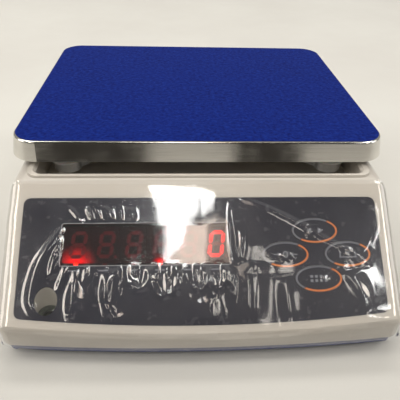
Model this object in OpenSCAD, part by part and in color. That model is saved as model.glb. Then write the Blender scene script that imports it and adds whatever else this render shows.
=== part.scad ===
// Counting scale with a stainless pan, a sloping front panel with a six-digit
// display and four keys, and a single-point load cell inside.
// Millimetres. +Z up, +Y to the back. The origin is on the table, under the
// middle of the overall width and depth.

/* [Pan] */
// Width of the pan across the lower edge of its rim
pan_w = 294; // [290:1:296]
// Depth of the pan at the lower edge of its rim
pan_d = 234; // [232:1:236]
// Height of the pan's folded rim
pan_h = 15.8; // [15:0.1:17]
// Outward lean of the rim, in degrees
pan_lean = 12; // [9:0.5:14]
// Corner radius at the lower edge of the rim
pan_corner_r = 23; // [18:1:28]
// Thickness of the pan's sheet steel
pan_sheet = 1; // [0.8:0.1:1.5]
// Thickness of the blue film stuck on the pan
film_t = 0.2; // [0.1:0.05:0.3]

/* [Case] */
// Height of the whole scale
total_h = 115; // [114:0.5:117]
// Width of the case at its shoulders
case_w = 282; // [280:1:284]
// How far the case and its clear cover stand in front of the pan
nose = 105.4; // [104:0.2:107]
// How far the pan overhangs the back of the case
back_inset = 4.2; // [3:0.1:4.4]
// Slope of the front panel from the horizontal, in degrees
fascia_angle = 37.5; // [36.5:0.5:38.5]
// Wall thickness of both case halves
wall = 2.5; // [2.2:0.1:2.6]
// Height of the seam between the two case halves
seam_z = 13.5; // [13:0.5:14]
// Height of the underside of the lower case
base_z = 6.5; // [6:0.5:7]

/* [Front panel] */
// Width of the black panel
panel_w = 258; // [254:1:262]
// Length of the panel's straight sides
panel_side = 84.4; // [82:0.2:86]
// How far the panel's lower edge bows out in the middle
panel_bow = 6.6; // [5:0.2:8]
// Width of the display window
window_w = 119.6; // [118:0.2:121]
// Height of the display window
window_h = 30; // [29:0.5:31]
// Spacing of the digits
digit_pitch = 19.7; // [19.6:0.05:19.8]

/* [Keys] */
// Width of an oval key
key_w = 34.4; // [32:0.2:35]
// Height of an oval key
key_h = 19.4; // [17:0.2:20]
// Distance from the middle of the key group to a side key
key_dx = 22.7; // [22.4:0.1:24]
// Distance from the middle of the key group to the upper or lower key
key_dy = 17.4; // [17:0.1:18]

/* [Feet] */
// Diameter of a rubber foot pad
foot_d = 24; // [20:1:26]
// Radius of the foot's threaded stud
stud_r = 4; // [3:0.5:4]

/* [Load path] */
// Length of the load cell
cell_l = 130; // [128:1:132]
// Width of the load cell
cell_w = 30; // [28:1:32]
// Height of the load cell
cell_h = 22; // [21:0.5:23]

/* [Hidden] */
$fn = 48;

// Clearances
fit_gap = 0.05;      // round pins in their bores
cover_gap = 0.25;    // clear cover off the case
cover_t = 0.25;      // thickness of the clear cover

// Overall places
total_d = pan_d + nose;
pan_front_y = total_d / 2 - pan_d;
pan_mid_y = total_d / 2 - pan_d / 2;
pan_top_z = total_h - film_t;
pan_rim_z = total_h - pan_h;
case_front_y = -total_d / 2 + cover_gap + cover_t;
case_back_y = total_d / 2 - back_inset;

// Upper edge of the sloping front panel, where it meets the deck
brow_y = pan_front_y - 15.4;
brow_z = total_h - 21.3;
// Raised plinth and the tray sunk in it
plinth_z = brow_z + 1.6;
plinth_front_y = brow_y + 1.8;
plinth_back_y = case_back_y - 2;
plinth_w = case_w - 20;
tray_front_y = brow_y + 7;
tray_back_y = case_back_y - 5;
tray_w = plinth_w - 12;
tray_z = 75;
plinth_corner_r = 10;

// Rounding of the case
nose_r = 6.5;
brow_r = 5;
shoulder_r = 10;
slope_edge_r = 8;
front_corner_r = 10;
back_corner_r = 16;
base_edge_r = 4;
bow_r = 1575;        // radius of the front face in plan
base_inset = 2.4;    // lower case behind the upper case's sides and back
base_front_inset = 0.2;
base_corner_r = 14;
bow_fn = 720;
tray_lip = 2;        // bevel round the mouth of the tray
step = 0.05;         // sets apart faces that would otherwise lie in one plane

// Front panel places, measured down the slope from the panel's upper edge
panel_top_s = 14.3;  // from the brow to the panel's upper edge
nose_s = (brow_y - case_front_y) / cos(fascia_angle) - panel_top_s;
panel_t = 0.55;
panel_sink = 0.6;
panel_corner_r = 5;
window_x = -40.8;
window_s = 34.2;
digit_s = 33.6;
led_s = 48.2;
key_mid_x = 81.3;
key_mid_s = 42.9;
level_x = -108.3;
level_s = 73;
well_r = 7.7;
level_y = brow_y - (panel_top_s + level_s) * cos(fascia_angle);
level_top_z = 28;

// Boards and switches, measured along the panel's normal
window_t = 2.4;
digit_front = -3;
board_top = -11;
board_t = 1.6;

// Load path heights
floor_z = base_z + wall;
plate_z = floor_z + 3;
plate_t = 3;
cell_z = 30;
cell_front_y = pan_mid_y - cell_l / 2;
cell_back_y = pan_mid_y + cell_l / 2;
spacer_z = cell_z + cell_h;
spacer_t = 4;
spider_z = 82;
spider_t = 8;
mount_l = 28;        // length of each clamped end of the load cell
bolt_r = 3;
bolt_head_r = 5;
cup_inset_x = 40.5;    // pan edge to cup centre, across
cup_inset_y = 22.5;    // pan edge to cup centre, front to back
cup_x = pan_w / 2 - cup_inset_x;
cup_dy = pan_d / 2 - cup_inset_y;
cup_flange_r = 13.3;

// Feet
foot_x = 118;
foot_front_y = -121;
foot_back_y = 139;
foot_pad_h = 3.3;
foot_knob_top = base_z - 0.2;
foot_stud_top = 25;

// Screws that join the case halves
case_screw_x = 127;
case_screw_y = [-95, 29, 117];

// Battery and its door
battery_size = [70, 102, 47];
battery_mid = [-80, 75];

// Rear pocket with the inlet and the rocker switch
pocket_x = 68;
pocket_z = 40;
pocket_w = 96;
pocket_h = 36;
pocket_depth = 6;
pocket_y = case_back_y - pocket_depth;
inlet_x = 86;
rocker_x = 40;

cream = "#d8d3c6";
steel = "#c4c4c0";
board_green = "#1f6b3a";

// ---------- shared shapes ----------

module rounded_rect(w, d, r) {
    square([w - 2 * r, d], center = true);
    square([w, d - 2 * r], center = true);
    for (sx = [-1, 1], sy = [-1, 1])
        translate([sx * (w / 2 - r), sy * (d / 2 - r)]) circle(r);
}

module rounded_block(w, d, h, r) {
    linear_extrude(h) rounded_rect(w, d, r);
}

// A plate between two y values, centred across the scale
module deck_block(w, y0, y1, z0, z1, r) {
    translate([0, (y0 + y1) / 2, z0]) rounded_block(w, y1 - y0, z1 - z0, r);
}

// A rounded block whose sides lean out by 45 degrees, w by d at its foot
module flared_block(w, d, r, h) {
    for (turn = [false, true]) rotate([0, 0, turn ? 90 : 0]) {
        half = (turn ? d : w) / 2;
        rotate([90, 0, 0]) linear_extrude((turn ? w : d) - 2 * r, center = true)
            polygon([[-half, 0], [half, 0], [half + h, h], [-half - h, h]]);
    }
    for (sx = [-1, 1], sy = [-1, 1])
        translate([sx * (w / 2 - r), sy * (d / 2 - r), 0]) cylinder(r1 = r, r2 = r + h, h = h);
}

function ellipse_points(w, h) =
    [for (i = [0:71]) [w / 2 * cos(i * 5), h / 2 * sin(i * 5)]];

function arc_points(cx, cy, r, a0, a1, n) =
    [for (i = [0:n]) let (a = a0 + (a1 - a0) * i / n) [cx + r * cos(a), cy + r * sin(a)]];

// A straight slot with round ends
module slot(w, d, h) {
    linear_extrude(h) {
        square([w - d, d], center = true);
        for (e = [-1, 1]) translate([e * (w - d) / 2, 0]) circle(d / 2);
    }
}

function unit(v) = v / norm(v);
function to_next(p, i, k) = unit(p[(i + k + len(p)) % len(p)] - p[i]);
function half_angle(p, i) = acos(to_next(p, i, -1) * to_next(p, i, 1)) / 2;
function inward(p, i) = unit(to_next(p, i, -1) + to_next(p, i, 1));
function grown(p, g) = [for (i = [0:len(p) - 1]) p[i] - inward(p, i) * g / sin(half_angle(p, i))];

// A convex outline with a radius at each corner, grown by a distance
module soft_outline(outline, radii, grow) {
    p = grown(outline, grow);
    polygon([for (i = [0:len(p) - 1], k = radii[i] > 0 ? [-1, 1] : [0])
        k == 0 ? p[i] : p[i] + to_next(p, i, k) * (radii[i] + grow) / tan(half_angle(p, i))]);
    for (i = [0:len(p) - 1])
        if (radii[i] > 0)
            translate(p[i] + inward(p, i) * (radii[i] + grow) / sin(half_angle(p, i)))
                circle(radii[i] + grow);
}

// Places children on the sloping panel: x across, y up the slope from the
// panel's upper edge, z out along the panel's normal
module on_panel() {
    translate([0, brow_y, brow_z]) rotate([fascia_angle, 0, 0])
        translate([0, -panel_top_s, 0]) children();
}

module ellipse_block(w, h, z0, z1) {
    translate([0, 0, z0]) linear_extrude(z1 - z0) polygon(ellipse_points(w, h));
}

// The four key places, numbered left, right, top, bottom
key_places = [
    [key_mid_x - key_dx, -key_mid_s],
    [key_mid_x + key_dx, -key_mid_s],
    [key_mid_x, -key_mid_s + key_dy],
    [key_mid_x, -key_mid_s - key_dy]
];

module socket_bolt(length, r, head_r, head_h) {
    translate([0, 0, -length]) cylinder(r = r, h = length + 0.01);
    difference() {
        cylinder(r = head_r, h = head_h);
        translate([0, 0, head_h * 0.4]) cylinder(r = head_r * 0.55, h = head_h, $fn = 6);
    }
}

module pan_screw(length, r) {
    translate([0, 0, -length]) cylinder(r = r, h = length + 0.01);
    difference() {
        cylinder(r1 = r * 2, r2 = r * 1.6, h = r * 1.1);
        for (a = [0, 90])
            rotate([0, 0, a]) translate([-r, -r * 0.2, r * 0.5]) cube([2 * r, r * 0.4, r]);
    }
}

// Round-section tube through a list of points. ref is a direction that the
// tube never runs along.
function spline_point(a, b, c, d, t) =
    0.5 * (2 * b + (c - a) * t + (2 * a - 5 * b + 4 * c - d) * t * t
        + (3 * b - a - 3 * c + d) * t * t * t);
function smooth_path(p, n) = let (last = len(p) - 1) concat(
    [for (i = [0:last - 1], k = [0:n - 1])
        spline_point(p[max(i - 1, 0)], p[i], p[i + 1], p[min(i + 2, last)], k / n)],
    [p[last]]);

module tube(route, r, ref, sides = 8, steps = 5) {
    path = smooth_path(route, steps);
    last = len(path) - 1;
    rings = [for (i = [0:last])
        let (
            along = unit(path[min(i + 1, last)] - path[max(i - 1, 0)]),
            u = unit(cross(along, ref)),
            v = cross(along, u)
        )
        for (k = [0:sides - 1])
            path[i] + r * (cos(k * 360 / sides) * u + sin(k * 360 / sides) * v)];
    walls = [for (i = [0:last - 1], k = [0:sides - 1])
        [i * sides + k, i * sides + (k + 1) % sides,
            (i + 1) * sides + (k + 1) % sides, (i + 1) * sides + k]];
    start_cap = [[for (k = [0:sides - 1]) sides - 1 - k]];
    end_cap = [[for (k = [0:sides - 1]) last * sides + k]];
    polyhedron(rings, concat(walls, start_cap, end_cap));
}

// ---------- case ----------

function bow(x) = x * x / (2 * bow_r);

// Side outline: deck, brow, slope and back, pulled across the scale
module side_form(grow) {
    far = 260;
    rotate([90, 0, 90]) linear_extrude(400, center = true) soft_outline([
        [brow_y, brow_z],
        [brow_y - far * cos(fascia_angle), brow_z - far * sin(fascia_angle)],
        [case_back_y, brow_z - far * sin(fascia_angle)],
        [case_back_y, brow_z]
    ], [brow_r, 0, 0, shoulder_r - 2], grow);
}

// Front outline with the rounded shoulders, pulled from front to back
module front_form(grow) {
    side = case_w / 2;
    rotate([90, 0, 0]) linear_extrude(500, center = true) soft_outline([
        [-side, -50], [side, -50], [side, brow_z + step], [-side, brow_z + step]
    ], [0, 0, shoulder_r, shoulder_r], grow);
}

// Plan outline with the rounded corners
module plan_form(grow) {
    side = case_w / 2 + 2 * step;
    front = case_front_y + bow(side) - 2 * step;
    translate([0, 0, -60]) linear_extrude(200) soft_outline([
        [0, front - 2 * bow(side)], [side, front], [side, case_back_y + 2 * step],
        [-side, case_back_y + 2 * step], [-side, front]
    ], [0, front_corner_r, back_corner_r, back_corner_r, front_corner_r], grow);
}

// The slope with its bowed, rounded nose, turned about the panel's normal
module nose_form(grow) {
    disc_r = bow_r * cos(fascia_angle);
    depth = 300;
    on_panel() translate([0, disc_r - nose_s, 0]) rotate_extrude($fn = bow_fn)
        intersection() {
            soft_outline([
                [-50, step], [-50, -depth],
                [disc_r + depth * tan(fascia_angle), -depth], [disc_r, step]
            ], [0, 0, 0, nose_r], grow);
            translate([0, -2 * depth]) square([3000, 3 * depth]);
        }
}

// Rounded long edges of the slope, pulled along it
module slope_form(grow) {
    side = case_w / 2 + step;
    on_panel() rotate([90, 0, 0]) linear_extrude(700, center = true) soft_outline([
        [-side, -300], [side, -300], [side, 2 * step], [-side, 2 * step]
    ], [0, 0, slope_edge_r, slope_edge_r], grow);
}

// The upper case's outer form, grown by a distance
module case_skin(grow) {
    intersection() {
        side_form(grow);
        front_form(grow);
        plan_form(grow);
        nose_form(grow);
        slope_form(grow);
    }
}

module below(z) { translate([-200, -200, z - 100]) cube([400, 400, 100]); }

module well_hole() {
    translate([level_x, level_y, level_top_z - 8]) cylinder(r = well_r, h = 40);
}

module upper_case() {
    color(cream) difference() {
        union() {
            difference() {
                case_skin(0);
                case_skin(-wall);
            }
            intersection() {
                case_skin(-wall / 2);
                upper_case_inside();
            }
            deck_block(plinth_w, plinth_front_y, plinth_back_y, brow_z - 4, plinth_z - 0.8, plinth_corner_r);
            deck_block(plinth_w - 1, plinth_front_y + 0.5, plinth_back_y - 0.5, brow_z, plinth_z, plinth_corner_r - 0.5);
        }
        below(seam_z);
        deck_block(tray_w, tray_front_y, tray_back_y, tray_z, total_h, plinth_corner_r - 4);
        translate([0, (tray_front_y + tray_back_y) / 2, plinth_z - tray_lip])
            flared_block(tray_w, tray_back_y - tray_front_y, plinth_corner_r - 4, tray_lip + step);
        // opening for the spider's post, and seats for the corner stops
        translate([0, cell_front_y + mount_l / 2, tray_z - 5]) cylinder(r = 27, h = 10);
        for (p = corner_stop_places()) translate([p[0], p[1], tray_z - 4]) cylinder(r = 2 + fit_gap, h = 10);
        on_panel() {
            translate([0, 0, -panel_sink]) linear_extrude(5) panel_outline(0);
            translate([window_x, -window_s, -10]) rounded_block(window_w + 0.4, window_h + 0.4, 20, 1.5);
            for (p = key_places) translate([p[0], p[1]]) ellipse_block(key_w, key_h, -10, 5);
            for (p = display_screw_places) translate([p[0], p[1], board_top - 1]) cylinder(r = 1.5 + fit_gap, h = 8);
        }
        well_hole();
        for (p = case_screw_places()) translate([p[0], p[1], 0]) cylinder(r = 2 + fit_gap, h = 27);
        // rear pocket and its cut-outs
        translate([pocket_x, pocket_y, pocket_z]) rotate([-90, 0, 0]) rounded_block(pocket_w, pocket_h, 20, 4);
        translate([inlet_x, pocket_y - 10, pocket_z]) rotate([-90, 0, 0]) rounded_block(28.4, 20.4, 20, 2);
        translate([rocker_x, pocket_y - 10, pocket_z]) cube([13.4, 40, 19.4], center = true);
        for (s = [-1, 1]) translate([inlet_x + s * 20, pocket_y + 1, pocket_z]) rotate([90, 0, 0]) cylinder(r = 1.5 + fit_gap, h = 10);
    }
}

// Tray walls, bosses and the level's well, before they are trimmed to the case
module upper_case_inside() {
    deck_block(tray_w + 2 * wall, tray_front_y - wall, tray_back_y + wall, tray_z - wall, total_h, plinth_corner_r - 2);
    for (p = case_screw_places()) translate([p[0], p[1], 0]) cylinder(r = 5, h = 100);
    translate([level_x, level_y, 15]) cylinder(r = well_r + 2, h = 60);
    on_panel() for (p = display_screw_places) translate([p[0], p[1], board_top]) cylinder(r = 3.2, h = 12);
    translate([pocket_x, pocket_y - wall, pocket_z]) rotate([-90, 0, 0])
        rounded_block(pocket_w + 2 * wall, pocket_h + 2 * wall, 20, 6);
}

function case_screw_places() = [for (s = [-1, 1], y = case_screw_y) [s * case_screw_x, y]];

// Plan outline of the lower case, with its own corners
module base_plan(grow) {
    side = case_w / 2 - base_inset + 2 * step;
    front = case_front_y + base_front_inset + bow(side) - 2 * step;
    back = case_back_y - base_inset + 2 * step;
    translate([0, 0, -60]) linear_extrude(200) soft_outline([
        [0, front - 2 * bow(side)], [side, front], [side, back], [-side, back], [-side, front]
    ], [0, base_corner_r, back_corner_r - base_inset, back_corner_r - base_inset, base_corner_r], grow);
}

// The lower case's outer form, grown by a distance
module base_skin(grow) {
    side = case_w / 2 - base_inset;
    back = case_back_y - base_inset;
    intersection() {
        // bowed front with its rounded lower edge
        translate([0, case_front_y + bow_r, 0]) rotate_extrude($fn = bow_fn) intersection() {
            soft_outline([
                [-50, base_z], [bow_r - base_front_inset, base_z], [bow_r - base_front_inset, 60], [-50, 60]],
                [0, base_edge_r, 0, 0], grow);
            square([2000, 60]);
        }
        base_plan(grow);
        rotate([90, 0, 0]) linear_extrude(500, center = true) soft_outline([
            [-side, base_z - step], [side, base_z - step], [side, 70], [-side, 70]
        ], [base_edge_r, base_edge_r, 0, 0], grow);
        rotate([90, 0, 90]) linear_extrude(500, center = true) soft_outline([
            [-300, base_z - 2 * step], [back, base_z - 2 * step], [back, 70], [-300, 70]
        ], [0, base_edge_r, 0, 0], grow);
    }
}

module lower_case() {
    color("#33507f") difference() {
        union() {
            difference() {
                base_skin(0);
                intersection() {
                    base_skin(-wall);
                    translate([-200, -200, floor_z]) cube([400, 400, 50]);
                }
            }
            for (p = foot_places()) translate([p[0], p[1], base_z + 1]) cylinder(r = 9, h = 17.5);
            for (p = case_screw_places()) translate([p[0], p[1], base_z + 1]) cylinder(r = 5, h = seam_z - base_z - 1);
            for (p = plate_screw_places) translate([p[0], p[1], base_z + 1]) cylinder(r = 5, h = plate_z - base_z - 1);
            for (p = board_screw_places) translate([p[0], p[1], base_z + 1]) cylinder(r = 3.5, h = 14 - base_z - 1);
            for (p = strap_screw_places) translate([p[0], p[1], base_z + 1]) cylinder(r = 2.8, h = 4.5);
        }
        translate([-200, -200, seam_z]) cube([400, 400, 100]);
        for (p = foot_places()) translate([p[0], p[1], 0]) cylinder(r = 6, h = 60);
        for (p = case_screw_places()) translate([p[0], p[1], 0]) {
            cylinder(r = 2 + fit_gap, h = 40);
            cylinder(r = 4.6, h = base_z + 3);
        }
        for (p = plate_screw_places) translate([p[0], p[1], base_z + 1.2]) cylinder(r = 2 + fit_gap, h = 20);
        for (p = board_screw_places) translate([p[0], p[1], base_z + 1.2]) cylinder(r = 1.5 + fit_gap, h = 20);
        for (p = strap_screw_places) translate([p[0], p[1], base_z + 1.2]) cylinder(r = 1.5 + fit_gap, h = 20);
        // battery door opening with its rebate, and the door screw's hole
        translate([battery_mid[0], battery_mid[1], 0]) {
            rounded_block(battery_size[0] + 7, battery_size[1] + 14, base_z + 1.3, 3);
            rounded_block(battery_size[0] + 2, battery_size[1] + 4, 20, 2);
        }
        // vent slots under the transformer
        for (i = [-3:3]) translate([90 + i * 6, 115, 0]) rotate([0, 0, 90]) slot(26, 2.4, 20);
    }
}

module clear_cover() {
    color([0.85, 0.88, 0.9, 0.3]) difference() {
        case_skin(cover_gap + cover_t);
        case_skin(cover_gap);
        below(seam_z - 2.5);
        translate([-200, plinth_front_y - 0.8, 0]) cube([400, 400, 200]);
    }
}

// ---------- front panel ----------

// Rounded panel with a lower edge that bows down the slope
module panel_outline(inset) {
    r = panel_corner_r - inset;
    half = panel_w / 2 - inset;
    big = (panel_w * panel_w / 4 + panel_bow * panel_bow) / (2 * panel_bow) - inset;
    big_y = big + inset - panel_side - panel_bow;
    low_y = big_y - sqrt(pow(big - r, 2) - pow(half - r, 2));
    lean = asin((half - r) / (big - r));
    top = -r - inset;
    polygon(concat(
        arc_points(half - r, top, r, 0, 90, 8),
        arc_points(r - half, top, r, 90, 180, 8),
        arc_points(r - half, low_y, r, 180, 270 - lean, 8),
        arc_points(0, big_y, big, 270 - lean, 270 + lean, 24),
        arc_points(half - r, low_y, r, 270 + lean, 360, 8)
    ));
}

module front_panel() {
    color("#15161a") difference() {
        on_panel() difference() {
            translate([0, 0, -panel_sink]) linear_extrude(panel_t) panel_outline(0.15);
            translate([window_x, -window_s, -5]) rounded_block(window_w, window_h, 10, 1.5);
            for (p = key_places) translate([p[0], p[1]]) ellipse_block(key_w, key_h, -5, 5);
        }
        well_hole();
    }
}

module display_window() {
    color([0.25, 0.02, 0.04, 0.8]) on_panel() translate([window_x, -window_s, -window_t])
        rounded_block(window_w - 0.2, window_h - 0.2, window_t - 0.05, 1.4);
}

display_screw_places = [[-103, -13], [40, -13], [114, -13], [-86, -68], [40, -68], [114, -68]];

module display_board() {
    color(board_green) on_panel() difference() {
        translate([0, 0, board_top - board_t]) linear_extrude(board_t)
            polygon([[-108, -8], [119, -8], [119, -73], [-91, -73], [-91, -58], [-108, -58]]);
        for (p = display_screw_places) translate([p[0], p[1], board_top - 5]) cylinder(r = 1.5 + fit_gap, h = 10);
    }
}

module display_digits() {
    color("#3b3436") on_panel() for (i = [0:5])
        translate([window_x + (i - 2.5) * digit_pitch, -digit_s, board_top])
            linear_extrude(digit_front - board_top) square([digit_pitch - 0.2, 25.6], center = true);
}

module indicator_leds() {
    color("#d01f1f") on_panel() for (i = [0:5])
        translate([window_x + (i - 2.5) * digit_pitch, -led_s, board_top]) {
            cylinder(r = 1.35, h = 6.4);
            translate([0, 0, 6.4]) sphere(1.35);
        }
}

module key_switches() {
    color("#2a2a2c") on_panel() for (p = key_places) translate([p[0], p[1], board_top])
        difference() {
            translate([-3, -3, 0]) cube([6, 6, 3.5]);
            translate([0, 0, 1.5]) cylinder(r = 1.8 + fit_gap, h = 10);
        }
}

module display_board_screws() {
    color(steel) on_panel() for (p = display_screw_places)
        translate([p[0], p[1], board_top - board_t]) rotate([180, 0, 0]) pan_screw(5, 1.5);
}

// Oval key plate with a retaining flange and a stem down into its switch
module key_piece(place) {
    color("#1c1d22") on_panel() translate([key_places[place][0], key_places[place][1], 0]) {
        ellipse_block(key_w - 2 * 0.25, key_h - 2 * 0.25, -2.9, 0.1);
        ellipse_block(key_w + 1.6, key_h + 1.6, -3.6, -2.9);
        translate([0, 0, -8.6]) cylinder(r = 1.8, h = 5.1);
        translate([0, 0, -6.4]) cylinder(r = 3.4, h = 2.9);
    }
}
module key_zero() { key_piece(0); }
module key_tare() { key_piece(1); }
module key_mode() { key_piece(2); }
module key_count() { key_piece(3); }

// ---------- bubble level ----------

module level_cup() {
    color("#e4e4e0") translate([level_x, level_y, level_top_z - 8]) difference() {
        cylinder(r = 7.5, h = 7);
        translate([0, 0, 1.5]) cylinder(r = 6, h = 10);
    }
}
module level_liquid() {
    color("#9fce3a") translate([level_x, level_y, level_top_z - 6.5]) cylinder(r = 5.95, h = 5.3);
}
module level_lens() {
    color([0.9, 0.95, 0.9, 0.4]) translate([level_x, level_y, level_top_z - 1]) cylinder(r = 7.5, h = 1);
}

// ---------- base and load path ----------

plate_screw_places = [for (sx = [-1, 1], y = [-31, 129]) [sx * 25, y]];

module base_plate() {
    color(steel) difference() {
        union() {
            translate([0, 48, plate_z]) rounded_block(64, 186, plate_t, 6);
            for (s = [-1, 1]) translate([s * 31 - 1, -39, plate_z + plate_t - 0.5]) cube([2, 174, 6]);
        }
        for (p = plate_screw_places) translate([p[0], p[1], 0]) cylinder(r = 2 + fit_gap, h = 40);
        for (y = base_bolt_y) translate([0, y, 0]) cylinder(r = bolt_r + fit_gap, h = 60);
        translate([0, cell_front_y + 12, 0]) cylinder(r = bolt_r + fit_gap, h = 60);
        translate([0, 39, 0]) rounded_block(34, 50, 40, 6);
    }
}

module base_plate_screws() {
    color(steel) for (p = plate_screw_places)
        translate([p[0], p[1], plate_z + plate_t]) pan_screw(plate_z + plate_t - base_z - 1.5, 2);
}

base_bolt_y = [cell_back_y - 7, cell_back_y - 21];
top_bolt_y = [cell_front_y + 7, cell_front_y + 21];

module cell_pedestal() {
    color("#b9bab8") difference() {
        translate([-cell_w / 2, cell_back_y - mount_l, plate_z + plate_t]) cube([cell_w, mount_l, cell_z - plate_z - plate_t]);
        for (y = base_bolt_y) translate([0, y, 0]) cylinder(r = bolt_r + fit_gap, h = 60);
    }
}

module load_cell() {
    color("#c9cacb") difference() {
        translate([-cell_w / 2, cell_front_y, cell_z]) cube([cell_w, cell_l, cell_h]);
        for (y = concat(base_bolt_y, top_bolt_y)) translate([0, y, 0]) cylinder(r = bolt_r + fit_gap, h = 100);
        // the flexure: two bores joined by a slot, and two thinner ones outside
        for (s = [-1, 1]) {
            translate([-50, pan_mid_y + s * 10, cell_z + cell_h / 2]) rotate([0, 90, 0]) cylinder(r = 8.5, h = 100);
            translate([-50, pan_mid_y + s * 24, cell_z + cell_h / 2]) rotate([0, 90, 0]) cylinder(r = 8.5, h = 100);
        }
        translate([-50, pan_mid_y - 24, cell_z + cell_h / 2 - 3]) cube([100, 48, 6]);
    }
}

module cell_base_bolts() {
    color("#77797c") for (y = base_bolt_y) translate([0, y, spacer_z])
        socket_bolt(spacer_z - plate_z, bolt_r, bolt_head_r, 6);
}

module overload_stop() {
    color("#77797c") translate([0, cell_front_y + 12, 0]) {
        translate([0, 0, plate_z]) cylinder(r = bolt_r, h = cell_z - plate_z - 0.8);
        translate([0, 0, plate_z + plate_t]) cylinder(r = 5.5, h = 4, $fn = 6);
    }
}

function corner_stop_places() = [for (sx = [-1, 1], sy = [-1, 1]) [sx * 66, pan_mid_y + sy * 62]];

module corner_stops() {
    color("#77797c") for (p = corner_stop_places()) translate([p[0], p[1], tray_z])
        translate([0, 0, -wall - 1.5]) union() {
            cylinder(r = 2, h = spider_z - 0.8 - tray_z + wall + 1.5);
            translate([0, 0, wall + 1.5]) cylinder(r = 4, h = 2.2, $fn = 6);
        }
}

module cell_spacer() {
    color(steel) difference() {
        translate([-14, cell_front_y, spacer_z]) cube([28, mount_l, spacer_t]);
        for (y = top_bolt_y) translate([0, y, 0]) cylinder(r = bolt_r + fit_gap, h = 100);
    }
}

module spider() {
    post_z = spacer_z + spacer_t;
    reach = norm([cup_x, cup_dy]);
    color("#aeb0b1") difference() {
        union() {
            translate([-14, cell_front_y, post_z]) cube([28, mount_l, spider_z - post_z + 1]);
            translate([0, pan_mid_y, spider_z]) rounded_block(64, cell_l + 8, spider_t, 8);
            for (sx = [-1, 1], sy = [-1, 1]) {
                translate([0, pan_mid_y, spider_z + 1])
                    rotate([0, 0, atan2(sy * cup_dy, sx * cup_x)])
                        translate([20, -9, 0]) cube([reach - 20, 18, spider_t - 1.5]);
                translate([sx * cup_x, pan_mid_y + sy * cup_dy, spider_z]) cylinder(r = 11, h = spider_t);
            }
        }
        for (y = top_bolt_y) translate([0, y, 0]) cylinder(r = bolt_r + fit_gap, h = 100);
        for (sx = [-1, 1], sy = [-1, 1])
            translate([sx * cup_x, pan_mid_y + sy * cup_dy, 70]) cylinder(r = 3 + fit_gap, h = 30);
        for (y = [24, 48]) translate([0, pan_mid_y + y, 70]) cylinder(r = 9, h = 40);
    }
}

module spider_bolts() {
    color("#77797c") for (y = top_bolt_y) translate([0, y, spider_z + spider_t])
        socket_bolt(spider_z + spider_t - cell_z - 6, bolt_r, bolt_head_r, 6);
}

// Translucent cups between the spider's arms and the pan
module pan_cups() {
    z0 = spider_z + spider_t;
    z1 = pan_top_z - pan_sheet;
    color([0.85, 0.88, 0.86, 0.7]) for (sx = [-1, 1], sy = [-1, 1])
        translate([sx * cup_x, pan_mid_y + sy * cup_dy, 0]) {
            translate([0, 0, z0 - 6]) cylinder(r = 3, h = 7);
            translate([0, 0, z0]) rotate_extrude() polygon([
                [0, 0], [cup_flange_r - 1, 0], [cup_flange_r, 0.7], [cup_flange_r - 0.6, 1.6],
                [9, 2.6], [7, 6], [6.5, 12], [8, z1 - z0 - 4], [11, z1 - z0 - 1.2],
                [11, z1 - z0], [0, z1 - z0]
            ]);
        }
}

// ---------- pan ----------

module weighing_pan() {
    color(steel) translate([0, pan_mid_y, 0]) {
        across = pan_w / 2 - pan_corner_r;
        along = pan_d / 2 - pan_corner_r;
        translate([0, 0, pan_top_z - pan_sheet / 2]) cube([2 * across, 2 * along, pan_sheet], center = true);
        for (turn = [0:3]) rotate([0, 0, turn * 90]) {
            out = turn % 2 == 0 ? across : along;
            side = turn % 2 == 0 ? along : across;
            translate([out, 0, 0]) rotate([90, 0, 0]) linear_extrude(2 * side, center = true) rim_section();
            translate([out, side, 0]) rotate_extrude(angle = 90) rim_section();
        }
    }
}

// Folded, leaning edge of the pan, from a corner's centre out to its outer face
module rim_section() {
    outer_r = 2.2;
    inner_r = outer_r - pan_sheet;
    z = pan_top_z - outer_r;
    fall = (z + outer_r * sin(pan_lean) - pan_rim_z) / cos(pan_lean);
    x = pan_corner_r - outer_r * cos(pan_lean) - fall * sin(pan_lean);
    polygon(concat(
        [[0, pan_top_z - pan_sheet], [0, pan_top_z]],
        [for (i = [0:6]) let (a = 90 - (90 - pan_lean) * i / 6) [x + outer_r * cos(a), z + outer_r * sin(a)]],
        [[pan_corner_r, pan_rim_z], [pan_corner_r - pan_sheet / cos(pan_lean), pan_rim_z]],
        [for (i = [0:6]) let (a = pan_lean + (90 - pan_lean) * i / 6) [x + inner_r * cos(a), z + inner_r * sin(a)]]
    ));
}

module pan_film() {
    color("#16248c") translate([0, pan_mid_y, pan_top_z])
        rounded_block(pan_w - 9, pan_d - 9, film_t, pan_corner_r - 4.5);
}

// ---------- electronics and power ----------

module battery() {
    color("#5c6268") translate([battery_mid[0], battery_mid[1], floor_z]) {
        rounded_block(battery_size[0], battery_size[1], battery_size[2], 2);
        for (s = [-1, 1]) translate([s * 20, -battery_size[1] / 2 - 3, 30]) cube([5, 8, 4.8]);
    }
}

strap_screw_places = [for (s = [-1, 1]) [battery_mid[0] + s * (battery_size[0] / 2 + 6.5), battery_mid[1] + 5]];
strap_z = base_z + 5.5;

module battery_strap() {
    w = 14;
    half = battery_size[0] / 2 + 0.4;
    foot_l = 9.5;
    z1 = floor_z + battery_size[2] + 0.3;
    color(steel) translate([battery_mid[0], battery_mid[1] + 5, 0]) difference() {
        union() {
            translate([-half - 1, -w / 2, z1]) cube([2 * half + 2, w, 1]);
            for (s = [-1, 1]) {
                translate([s * (half + 0.5) - 0.5, -w / 2, strap_z]) cube([1, w, z1 - strap_z + 1]);
                translate([s * (half + foot_l / 2) - foot_l / 2, -w / 2, strap_z]) cube([foot_l, w, 1]);
            }
        }
        for (s = [-1, 1]) translate([s * (battery_size[0] / 2 + 6.5), 0, 0]) cylinder(r = 1.5 + fit_gap, h = 20);
    }
}

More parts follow.
